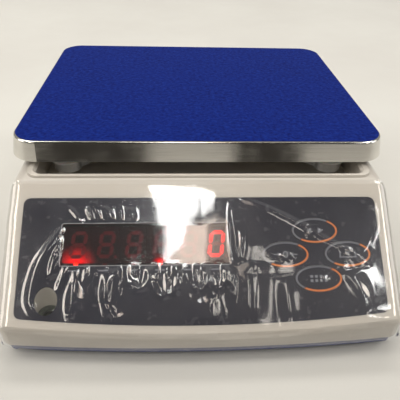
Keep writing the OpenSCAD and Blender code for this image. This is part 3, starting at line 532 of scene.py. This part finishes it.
def floor():
    s = Shader("floor_paint_and_painted_shade")
    base = s.blend(s.spread(s.noise(300, 4), 0, 1), linear(214, 210, 202), linear(222, 219, 211))
    base = s.blend(s.spread(s.noise(1.5, 2), 0, 0.06), base, linear(190, 185, 176))
    y = s.add("ShaderNodeSeparateXYZ", {"Vector": s.place}).outputs["Y"]
    # painted shade: the floor is blended darker towards the front, on the viewer's side
    base = s.blend(s.spread(y, 0.5, 0, -0.36, 0.02), base, linear(140, 135, 130))
    s.principled(Base_Color=base, Roughness=s.spread(s.noise(40, 3), 0.5, 0.65),
                 Normal=s.bump(s.noise(1.2, 3), 0.02, 0.4))
    far = 4.0
    o = solid("floor", s.mat, None,
              [(-far, -far, 0), (far, -far, 0), (far, far, 0), (-far, far, 0)], [[0, 1, 2, 3]])


# ---------------------------------------------------------------- display, keys, level

DIGIT_PITCH = 19.7
WINDOW_X, WINDOW_DOWN = -40.8, 34.2
WINDOW_W, WINDOW_H = 119.6, 30.0
LED_DOWN = 48.2
LED_X = [WINDOW_X + (i - 2.5) * DIGIT_PITCH for i in range(6)]
KEYS = {
    "zero": (58.6, 42.9), "tare": (104.0, 42.9), "mode": (81.3, 25.5), "count": (81.3, 60.3)}


def segments(cx, cd, w=11.4, h=19.6, t=2.7, gap=0.3, lean=0.14):
    """The seven bars of one digit, as outlines, in the order a to g."""
    x0, x1, y0, y1 = -w / 2 + t / 2, w / 2 - t / 2, -h / 2 + t / 2, h / 2 - t / 2
    ends = [((x0, y1), (x1, y1)), ((x1, y1), (x1, 0)), ((x1, 0), (x1, y0)), ((x0, y0), (x1, y0)),
            ((x0, 0), (x0, y0)), ((x0, y1), (x0, 0)), ((x0, 0), (x1, 0))]
    bars = []
    for (ax, ay), (bx, by) in ends:
        l = math.hypot(bx - ax, by - ay)
        ux, uy = (bx - ax) / l, (by - ay) / l
        px, py = -uy, ux
        pts = []
        for along, side in ((gap, 0), (gap + t / 2, 1), (l - gap - t / 2, 1), (l - gap, 0),
                            (l - gap - t / 2, -1), (gap + t / 2, -1)):
            x = ax + ux * along + px * side * t / 2
            y = ay + uy * along + py * side * t / 2
            pts.append((cx + x + lean * y, cd - y))
        bars.append(pts)
    return bars


def display():
    dark, lit = Shape(), Shape()
    for i in range(6):
        for k, bar in enumerate(segments(LED_X[i] + 1.0, WINDOW_DOWN - 0.2)):
            on = i == 5 and k != 6
            (lit if on else dark).prism(bar, -2.98, -2.8)
        dot = ellipse(LED_X[i] + 7.6, WINDOW_DOWN + 8.6, 1.1, 1.1, 0, 345, 23)
        dark.prism(dot, -2.98, -2.8)
    s = Shader("segment_off")
    base = s.blend(s.spread(s.noise(4, 3), 0, 1), (0.62, 0.34, 0.38), (0.75, 0.42, 0.46))
    s.principled(Base_Color=base, Roughness=s.spread(s.noise(2, 2), 0.4, 0.6))
    dark.make("digit_segments_off", s.mat, slot="display_digits")
    lit.make("digit_segments_lit", glowing("segment_lit", (1.0, 0.0, 0.004), 5.0), slot="display_digits")

    # bright heads of the two lit lamps, under the filter
    for i, name in ((0, "lamp_glow_left"), (3, "lamp_glow_middle")):
        g = Shape().prism(ellipse(LED_X[i], LED_DOWN - 0.4, 1.5, 1.5, 0, 345, 23), -2.7, -2.5)
        g.make(name, glowing(name, (1.0, 0.28, 0.0), 14.0), slot="indicator_leds")

    # silver line round the window: a painted highlight of the film along the window's edge
    outer = rounded(WINDOW_X, WINDOW_DOWN, WINDOW_W + 1.0, WINDOW_H + 1.0, 2.0)
    inner = rounded(WINDOW_X, WINDOW_DOWN, WINDOW_W - 0.1, WINDOW_H - 0.1, 1.5)
    window_glint_line = Shape().band(outer, inner, -0.05, -0.02)
    s = Shader("silver_window_glint")
    base = s.blend(s.spread(s.noise(5, 3), 0, 1), linear(120, 118, 122), linear(176, 172, 172))
    n = s.principled(Base_Color=base, Roughness=s.spread(s.noise(3, 2), 0.35, 0.5))
    n.inputs["Metallic"].default_value = 0.6
    window_glint_line.make("window_outline", s.mat, slot="front_panel")

    # short printed marks under the lamps, instead of words
    marks = Shape()
    for i in range(6):
        marks.prism(rounded(LED_X[i], LED_DOWN + 4.6, 7.0, 1.0, 0.4, 3), -0.05, -0.02)
    marks.make("lamp_marks", ink("grey_ink", linear(110, 110, 118)), slot="front_panel")


def ink(name, colour):
    s = Shader(name)
    base = s.blend(s.spread(s.noise(3, 3), 0, 1), scaled(colour, 0.85), colour)
    s.principled(Base_Color=base, Roughness=s.spread(s.noise(2, 2), 0.35, 0.55),
                 Normal=s.bump(s.noise(0.4, 2), 0.01, 0.4))
    return s.mat


def keys():
    orange = ink("orange_ink", linear(222, 128, 58))
    grey = ink("ring_grey", linear(112, 112, 118))
    pale = ink("symbol_grey", linear(128, 128, 134))
    a, b, t = 16.7, 9.2, 1.35
    for key, (x, d) in KEYS.items():
        body, slot = key + "_key", "key_" + key
        warm = Shape().band(ellipse(x, d, a, b, -130, 52, 44), ellipse(x, d, a - t, b - t, -130, 52, 44),
                            0.1, 0.13, closed=False)
        cool = Shape().band(ellipse(x, d, a, b, 54, 228, 44), ellipse(x, d, a - t, b - t, 54, 228, 44),
                            0.1, 0.13, closed=False)
        warm.make("ring_warm_" + key, orange, body, slot)
        cool.make("ring_grey_" + key, grey, body, slot)
        sign = Shape()
        if key == "zero":
            sign.band(ellipse(x, d, 1.9, 2.6, 0, 345, 23), ellipse(x, d, 1.1, 1.8, 0, 345, 23), 0.1, 0.13)
            for s in (-1, 1):
                sign.prism([(x + s * 3.2, d), (x + s * 5.6, d - 1.6), (x + s * 5.6, d + 1.6)], 0.1, 0.13)
                sign.prism(rounded(x + s * 7.2, d, 3.2, 0.7, 0.2, 2), 0.1, 0.13)
        elif key == "tare":
            sign.prism(rounded(x, d + 2.3, 13, 0.8, 0.2, 2), 0.1, 0.13)
            for s in (-1, 1):
                sign.prism(rounded(x + s * 5.6, d + 0.2, 0.8, 4.4, 0.2, 2), 0.1, 0.13)
            sign.prism([(x, d + 1.3), (x - 2, d - 1.5), (x + 2, d - 1.5)], 0.1, 0.13)
        elif key == "mode":
            for s in (-1, 1):
                sign.prism([(x + s * 6.2, d), (x + s * 2.4, d - 2.2), (x + s * 2.4, d + 2.2)], 0.1, 0.13)
        else:
            for row in range(2):
                for col in range(4):
                    cx, cd = x + (col - 1.5) * 3.4, d + (row - 0.5) * 3.0
                    sign.prism(rounded(cx, cd, 2.1, 1.9, 0.3, 2), 0.1, 0.13)
        sign.make("symbol_" + key, pale, body, slot)


def bubble():
    """Air bubble and centring ring of the level, just under its lens."""
    low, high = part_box("level_liquid")
    mid = (low + high) / 2
    top = high.z
    ring_v, ring_f, n = [], [], 40
    for r, z in ((3.1, 0.0), (3.1, 0.12), (2.75, 0.12), (2.75, 0.0)):
        for i in range(n):
            a = 2 * math.pi * i / n
            ring_v.append((mid.x + r * MM * math.cos(a), mid.y + r * MM * math.sin(a), top + z * MM))
    for k in range(4):
        for i in range(n):
            j = (i + 1) % n
            ring_f.append([k * n + i, k * n + j, (k + 1) % 4 * n + j, (k + 1) % 4 * n + i])
    dark = ink("level_ring_ink", (0.03, 0.03, 0.03))
    solid("level_ring", dark, "base", ring_v, ring_f, slot="level_lens")

    v, f, rows, n = [], [], 5, 32
    at = mid + Vector((0.7, 0.5, 0)) * MM
    for k in range(rows):
        a = math.pi / 2 * k / rows
        for i in range(n):
            t = 2 * math.pi * i / n
            r = 2.2 * MM * math.cos(a)
            v.append((at.x + r * math.cos(t), at.y + r * math.sin(t), top + 0.17 * MM * math.sin(a)))
    v.append((at.x, at.y, top + 0.17 * MM))
    for k in range(rows - 1):
        for i in range(n):
            f.append([k * n + i, k * n + (i + 1) % n, (k + 1) * n + (i + 1) % n, (k + 1) * n + i])
    f += [[(rows - 1) * n + i, (rows - 1) * n + (i + 1) % n, rows * n] for i in range(n)]
    f.append([i for i in reversed(range(n))])
    s = Shader("air_bubble")
    base = s.blend(s.spread(s.noise(3, 2), 0, 1), linear(196, 214, 150), linear(226, 236, 190))
    s.principled(Base_Color=base, Roughness=s.spread(s.noise(2, 2), 0.08, 0.16))
    solid("level_bubble", s.mat, "base", v, f, smooth=True, slot="level_liquid")


# ---------------------------------------------------------------- clear film

class Lattice:
    """Smooth seeded noise in the plane, about -1 to 1."""

    def __init__(self, seed):
        self.grid = np.random.default_rng(seed).uniform(-1, 1, (64, 64))

    def __call__(self, x, y):
        xi, yi = np.floor(x).astype(int), np.floor(y).astype(int)
        fx, fy = x - xi, y - yi
        fx, fy = fx * fx * fx * (fx * (fx * 6 - 15) + 10), fy * fy * fy * (fy * (fy * 6 - 15) + 10)
        g = lambda i, j: self.grid[(xi + i) % 64, (yi + j) % 64]
        return (g(0, 0) * (1 - fx) + g(1, 0) * fx) * (1 - fy) + (g(0, 1) * (1 - fx) + g(1, 1) * fx) * fy


def curve_points(points, n=8):
    """A smooth line through points."""
    p = [np.array(q, float) for q in points]
    p = [2 * p[0] - p[1]] + p + [2 * p[-1] - p[-2]]
    out = []
    for i in range(1, len(p) - 2):
        a, b, c, d = p[i - 1:i + 3]
        for k in range(n):
            t = k / n
            out.append(0.5 * (2 * b + (c - a) * t + (2 * a - 5 * b + 4 * c - d) * t * t
                              + (3 * b - a - 3 * c + d) * t ** 3))
    out.append(p[-2])
    return np.array(out)


def crease(x, d, points, high, wide, sharp=1.0, taper=0.35, skew=0.0):
    """Height of one crease of the film over panel points (x, d), in mm. Its cross-section is a ridge."""
    line = curve_points(points)
    lo, hi = line.min(0) - 4 * wide, line.max(0) + 4 * wide
    near = (x > lo[0]) & (x < hi[0]) & (d > lo[1]) & (d < hi[1])
    h = np.zeros_like(x)
    if not near.any():
        return h
    px, pd = x[near], d[near]
    best = np.full(px.shape, 1e9)
    along = np.zeros(px.shape)
    side = np.zeros(px.shape)
    steps = np.linalg.norm(np.diff(line, axis=0), axis=1)
    total = steps.sum()
    gone = 0.0
    for i in range(len(line) - 1):
        a, b = line[i], line[i + 1]
        ab = b - a
        t = np.clip(((px - a[0]) * ab[0] + (pd - a[1]) * ab[1]) / (ab @ ab + 1e-9), 0, 1)
        dx, dd = px - a[0] - t * ab[0], pd - a[1] - t * ab[1]
        r = np.hypot(dx, dd)
        closer = r < best
        best = np.where(closer, r, best)
        along = np.where(closer, (gone + t * steps[i]) / total, along)
        side = np.where(closer, np.sign(dx * ab[1] - dd * ab[0]), side)
        gone += steps[i]
    w = wide * (1 + skew * side)
    shape = np.exp(-np.power(best / w, 1.0 + sharp))
    ends = np.clip(along / taper, 0, 1) * np.clip((1 - along) / taper, 0, 1)
    h[near] = high * shape * np.sqrt(ends)
    return h


def film_creases():
    """(points on the panel in mm, height, half width, sharpness) of each crease.

    The listed points and soft folds follow creases in the reference picture. They began as the output of
    a separate program: a few points are unchanged, most were moved by up to 5 mm, and about a third were
    placed further off by hand. The fans and the crinkles are random.
    """
    rng = np.random.default_rng(7)
    rows = []
    # long arc from the window's upper left corner round the level's well
    arc = [(-84, 17), (-98, 22), (-108, 36), (-115, 50), (-118, 66), (-118, 78), (-112, 86), (-102, 82)]
    rows.append((arc, 1.1, 2.4, 0.8))
    rows.append(([(-99, 29), (-103, 42), (-105, 58)], 0.8, 1.3, 0.6))
    rows.append(([(-101, 33), (-105, 45), (-107, 57)], 0.6, 1.1, 0.6))
    # fan above the window, each one leaning to the left as it rises
    for k in range(13):
        x = -88 + k * 7.6 + rng.uniform(-1.5, 1.5)
        lean = 8 - k * 1.15 + rng.uniform(-2, 2)
        top = rng.uniform(1, 8)
        if -46 < x < 4:
            continue
        rows.append(([(x, 18.5), (x - lean * 0.35, 13), (x - lean, top)],
                     rng.uniform(0.5, 1.0), rng.uniform(1.0, 2.0), 0.6))
    # fan under the window
    for k in range(17):
        x = -96 + k * 6.9 + rng.uniform(-1.8, 1.8)
        lean = (x + 40) * 0.06 + rng.uniform(-2.5, 2.5)
        low = rng.uniform(60, 84)
        rows.append(([(x, 49), (x + lean * 0.3, 56), (x + lean, low)],
                     rng.uniform(0.6, 1.1), rng.uniform(1.3, 2.4), 0.8))
    # loops that hang from the window's lower edge
    rows.append(([(-52, 50), (-50, 62), (-44, 66), (-40, 58), (-42, 50)], 1.3, 2.0, 0.8))
    rows.append(([(-39, 51), (-36, 64), (-30, 71), (-22, 68), (-16, 54)], 1.1, 1.8, 0.7))
    rows.append(([(-14, 52), (-10, 62), (-4, 66), (3, 62), (6, 50)], 1.0, 1.8, 0.7))
    rows.append(([(-3, 50), (4, 61), (10, 66), (15, 60), (16, 50)], 1.1, 1.6, 0.7))
    rows.append(([(-58, 52), (-66, 60), (-68, 74), (-62, 86), (-54, 84)], 0.8, 2.0, 0.7))
    # right of the window
    rows.append(([(21, 2), (21, 12), (22, 24), (23, 40), (22, 50)], 0.9, 1.5, 0.5))
    rows.append(([(25, 18), (27, 32), (25, 48)], 0.8, 1.7, 0.6))
    rows.append(([(19, 52), (20, 64), (19, 80)], 0.7, 1.6, 0.6))
    rows.append(([(27, 1), (39, 5), (66, 18), (94, 35), (122, 50)], 0.7, 1.6, 0.4))
    # broad soft folds down to the lower edge
    soft = ((-89, -86, 62, 4.5, 1.3), (37, 32, 48, 6.0, 1.5), (58, 60, 60, 4.5, 1.5),
            (106, 116, 56, 6.0, 1.7), (-66, -64, 52, 4.0, 1.0), (2, 0, 66, 5.5, 1.0))
    for x0, x1, top, wide, high in soft:
        rows.append(([(x0, top), ((x0 + x1) / 2, (top + 94) / 2), (x1, 96)], high, wide, 1.0))
    # right edge, where the film is pulled round the case
    rows.append(([(136, 10), (129, 26), (118, 48), (124, 62), (132, 78)], 0.5, 5.5, 1.0))
    rows.append(([(110, 92), (124, 84), (140, 80)], 0.5, 4.0, 0.8))
    rows.append(([(96, 52), (108, 66), (118, 84)], 1.0, 3.0, 0.7))
    # short crinkles in the keys
    for x, d in KEYS.values():
        for k in range(3):
            a = rng.uniform(0, math.pi)
            cx, cd = x + rng.uniform(-6, 6), d + rng.uniform(-3, 3)
            l = rng.uniform(2.5, 5)
            dx, dd = l * math.cos(a), l * math.sin(a) * 0.7
            rows.append(([(cx - dx, cd - dd), (cx, cd + rng.uniform(-1, 1)), (cx + dx, cd + dd)],
                         rng.uniform(0.25, 0.5), rng.uniform(0.8, 1.3), 0.5))
    return rows


# lift of the film off the case in mm; share of the creases' listed sizes
FILM_LIFT = 0.35
CREASE_HIGH, CREASE_WIDE = 0.9, 1.45


def film():
    """The wrinkled clear film, from the top of the slope over the nose and round both sides."""
    cover = NODES["clear_cover"]
    verts = [v.co.copy() for v in cover.data.vertices]
    tree = BVHTree.FromPolygons(verts, [tuple(p.vertices) for p in cover.data.polygons])
    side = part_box("clear_cover")[1].x / MM
    low_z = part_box("clear_cover")[0].z / MM + 0.3
    edge_r, nose_r, nose_d, bow_r = 8.5, 7.0, 98.5, 1250.0
    flat = side - edge_r
    # columns: left skirt, left edge, slope, right edge, right skirt
    skirt = np.linspace(1, 0, 23)[:-1]
    bend = np.linspace(90, 0, 9)[:-1]
    across = np.linspace(-flat, flat, 331)
    # rows: down the slope, round the nose, down the front
    turn = 90 - math.degrees(SLOPE)
    straight = nose_d - nose_r * math.tan(math.radians(turn / 2))
    down = np.linspace(-13.4, straight, 137)
    round_rows = np.linspace(0, turn, 9)[1:]
    front_rows = np.linspace(0, 1, 9)[1:]

    def spine(x, row):
        """(point, drop allowed) of a row at across position x, before the side edges are turned."""
        bowed = x * x / (2 * bow_r)
        if row < len(down):
            share = (row / (len(down) - 1)) ** 3
            return on_panel(x, down[row] - bowed * share, 0.8)
        base = on_panel(x, straight - bowed, 0.8)
        k = row - len(down)
        angle = math.radians(round_rows[min(k, len(round_rows) - 1)])
        centre = base - NORMAL * (nose_r * MM)
        out = NORMAL * math.cos(angle) - UP_SLOPE * math.sin(angle)
        p = centre + out * (nose_r * MM)
        if k >= len(round_rows):
            drop = front_rows[k - len(round_rows)]
            p = p + Vector((0, 0, -1)) * max(0.0, p.z - low_z * MM) * drop
        return p

    n_rows = len(down) + len(round_rows) + len(front_rows)
    columns = ([("skirt", -1, f) for f in skirt] + [("edge", -1, a) for a in bend]
               + [("flat", x, 0) for x in across]
               + [("edge", 1, a) for a in bend[::-1]] + [("skirt", 1, f) for f in skirt[::-1]])
    grid = np.zeros((n_rows, len(columns), 3))
    px = np.zeros((n_rows, len(columns)))
    pd = np.zeros((n_rows, len(columns)))
    for r in range(n_rows):
        d = down[r] if r < len(down) else nose_d + (r - len(down)) * 1.2
        for c, (kind, s, a) in enumerate(columns):
            if kind == "flat":
                p, x = spine(s, r), s
            else:
                angle = math.radians(a if kind == "edge" else 90)
                p = spine(s * flat, r)
                p = p + Vector((s * edge_r * math.sin(angle), 0, -edge_r * (1 - math.cos(angle)))) * MM
                x = s * (flat + edge_r * math.sin(angle))
                if kind == "skirt":
                    p = p + Vector((0, 0, -1)) * max(0.0, p.z - low_z * MM) * a
                    x = s * (side + 30 * a)
            found = tree.find_nearest(p)[0]
            grid[r, c] = found
            px[r, c], pd[r, c] = x, d
    # even out the projection, most where it gathers
    for _ in range(9):
        inner = grid[1:-1, 1:-1]
        grid[1:-1, 1:-1] = inner + 0.5 * ((grid[:-2, 1:-1] + grid[2:, 1:-1] + grid[1:-1, :-2]
                                            + grid[1:-1, 2:]) / 4 - inner)
    du = np.gradient(grid, axis=1)
    dv = np.gradient(grid, axis=0)
    normal = np.cross(dv, du)
    normal /= np.linalg.norm(normal, axis=2, keepdims=True) + 1e-12

    # height of the film over the case
    slow, mid, fine = Lattice(3), Lattice(11), Lattice(23)
    h = (FILM_LIFT + 0.3 * slow(px / 34 + 9, pd / 26 + 5) + 0.05 * mid(px / 11, pd / 24)
         + 0.01 * fine(px / 4.5, pd / 9))
    # taut places: over the window, above it, at the right edge, and one spot under the window
    in_window = np.clip(1 - np.maximum(np.abs(px - WINDOW_X) - WINDOW_W / 2 + 3,
                                       np.abs(pd - WINDOW_DOWN) - WINDOW_H / 2 + 3) / 4, 0, 1)
    over_window = np.clip(1 - np.maximum(np.abs(px + 21) - 20, pd - 20) / 12, 0, 1)
    at_right = np.clip((px - 110) / 12, 0, 1) * np.clip((pd - 8) / 8, 0, 1)
    at_spot = np.clip(1.6 - np.hypot(px + 48, (pd - 54) * 0.8) / 7, 0, 1)
    taut = np.maximum.reduce([in_window, over_window, at_right, at_spot])
    # calmer right half, under the keys
    calm = np.clip((px - 26) / 8, 0, 1) * np.clip((pd - 48) / 8, 0, 1)
    for points, high, wide, sharp in film_creases():
        h = h + crease(px, pd, points, high * CREASE_HIGH, wide * CREASE_WIDE, sharp)
    h = h * (1 - 0.85 * taut) * (1 - 0.6 * calm) + 0.3 * taut
    beyond = np.clip((np.abs(px) - flat) / 20, 0, 1)
    h = h + beyond * (0.5 + 0.6 * mid(px / 9 + 3, pd / 12) + 0.3 * fine(px / 5, pd / 7))
    lowest = np.clip((pd - 88) / 8, 0, 1)
    h = h + lowest * 0.4 * mid(px / 12 + 31, pd / 30)
    # held close at its outer edges
    rim = np.minimum(np.arange(n_rows), np.arange(n_rows)[::-1])[:, None]
    h = np.maximum(h, 0.0) * np.clip(rim / 4, 0.1, 1)
    grid = grid + normal * (h * MM)[:, :, None]

    n_cols = len(columns)
    faces = [[r * n_cols + c, (r + 1) * n_cols + c, (r + 1) * n_cols + c + 1, r * n_cols + c + 1]
             for r in range(n_rows - 1) for c in range(n_cols - 1)]
    mat = clear("clear_film", (0.965, 0.97, 0.972), haze=0.05, shine=2.6, crinkle_mm=9, crinkle=0.02,
                body=0.008, body_colour=(0.9, 0.92, 1.0), soft=0.22)
    o = solid("protective_film", mat, "base", grid.reshape(-1, 3), faces, smooth=True, slot="clear_cover")
    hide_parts("clear_cover")
    o.visible_shadow = False
    return o


# ---------------------------------------------------------------- finishes of the CAD nodes

def paint(names, mat):
    for n in names:
        o = NODES[n]
        if not o.data.materials:
            o.data.materials.append(mat)
        for i in range(len(o.data.materials)):
            o.data.materials[i] = mat


def finishes():
    cream = plastic("cream_plastic", linear(199, 191, 180), 0.34, grain_mm=0.9, grain_depth=0.006,
                    coat=0.25, tint=0.97)
    blue = plastic("slate_plastic", linear(28, 42, 98), 0.42, grain_mm=0.6, grain_depth=0.03)
    paint(["upper_case"], cream)
    paint(["lower_case"], blue)
    paint(["battery_door"],
          plastic("door_plastic", linear(56, 76, 118), 0.45, grain_mm=0.6, grain_depth=0.03))
    paint(["front_panel", "key_zero", "key_tare", "key_mode", "key_count"],
          plastic("panel_black", (0.022, 0.021, 0.032), 0.24, grain_mm=0.35, grain_depth=0.004, tint=0.8))
    paint(["display_window"], clear("red_filter", (0.60, 0.10, 0.16), haze=0.05, shine=0.5,
                                    crinkle_mm=30, crinkle=0.004))
    paint(["display_digits"], display_face())
    paint(["indicator_leds"], glowing("red_lamp", (0.5, 0.02, 0.02), 0.15))
    paint(["display_board", "main_board"], board("green_board"))
    paint(["key_switches", "board_parts"], plastic("black_parts", (0.02, 0.02, 0.022), 0.45))
    zinc = metal("zinc_plate", (0.66, 0.66, 0.64), 0.32, edge_highlight=0.3)
    paint(["display_board_screws", "base_plate_screws", "battery_door_screw", "inner_screws",
           "inlet_screws", "case_screws"], zinc)
    paint(["foot_stud_" + k for k in ("fl", "fr", "bl", "br")], zinc)
    paint(["base_plate", "battery_strap", "cell_spacer"],
          metal("plated_sheet", (0.6, 0.6, 0.58), 0.38, streak=(0.2, 1, 1)))
    paint(["cell_pedestal", "load_cell"],
          metal("milled_aluminium", (0.78, 0.79, 0.8), 0.3, streak=(1, 0.15, 1)))
    paint(["cell_base_bolts", "overload_stop", "corner_stops", "spider_bolts"],
          metal("black_bolt", (0.09, 0.09, 0.1), 0.42))
    paint(["spider"], metal("cast_aluminium", (0.6, 0.61, 0.62), 0.5))
    paint(["battery"], plastic("battery_case", linear(74, 80, 88), 0.5))
    paint(["transformer"], metal("lacquered_steel", (0.3, 0.3, 0.29), 0.45))
    paint(["power_inlet", "switch_body", "power_rocker"],
          plastic("black_fitting", (0.016, 0.016, 0.018), 0.4))
    paint(["foot_inserts"], metal("brass", (0.78, 0.58, 0.27), 0.3))
    paint(["cell_cable"], rubber("grey_sheath", (0.32, 0.32, 0.32), 0.55))
    paint(["battery_leads"], rubber("red_sheath", (0.42, 0.03, 0.03), 0.5))
    paint(["display_ribbon"], rubber("ribbon_sheath", (0.3, 0.33, 0.37), 0.55))
    paint(["mains_wires"], rubber("brown_sheath", (0.16, 0.07, 0.03), 0.5))
    paint(["foot_pad_" + k for k in ("fl", "fr", "bl", "br")], rubber("foot_rubber", (0.025, 0.025, 0.026)))
    paint(["pan_cups"], rubber("silicone", (0.72, 0.74, 0.71), 0.4, through=0.35))
    # the cup's white is painted down to grey: painted shade of its recessed well
    paint(["level_cup"], plastic("level_cup_with_painted_shade", linear(128, 128, 118), 0.35))
    paint(["level_lens"], clear("level_clear", (0.93, 0.97, 0.93), haze=0.03, shine=1.0,
                                crinkle_mm=20, crinkle=0.002))
    s = Shader("level_green")
    base = s.blend(s.spread(s.noise(6, 2), 0, 1), linear(96, 128, 62), linear(122, 154, 84))
    s.principled(Base_Color=base, Roughness=s.spread(s.noise(4, 2), 0.1, 0.2))
    paint(["level_liquid"], s.mat)
    paint(["weighing_pan"], metal("brushed_pan", (0.72, 0.70, 0.65), 0.12, streak=(0.05, 0.05, 2.6),
                                  anisotropic=0.3, edge_highlight=0.35))
    paint(["pan_film"], blue_film())


eye = camera()
studio(eye)
floor()
finishes()
display()
keys()
bubble()
film()
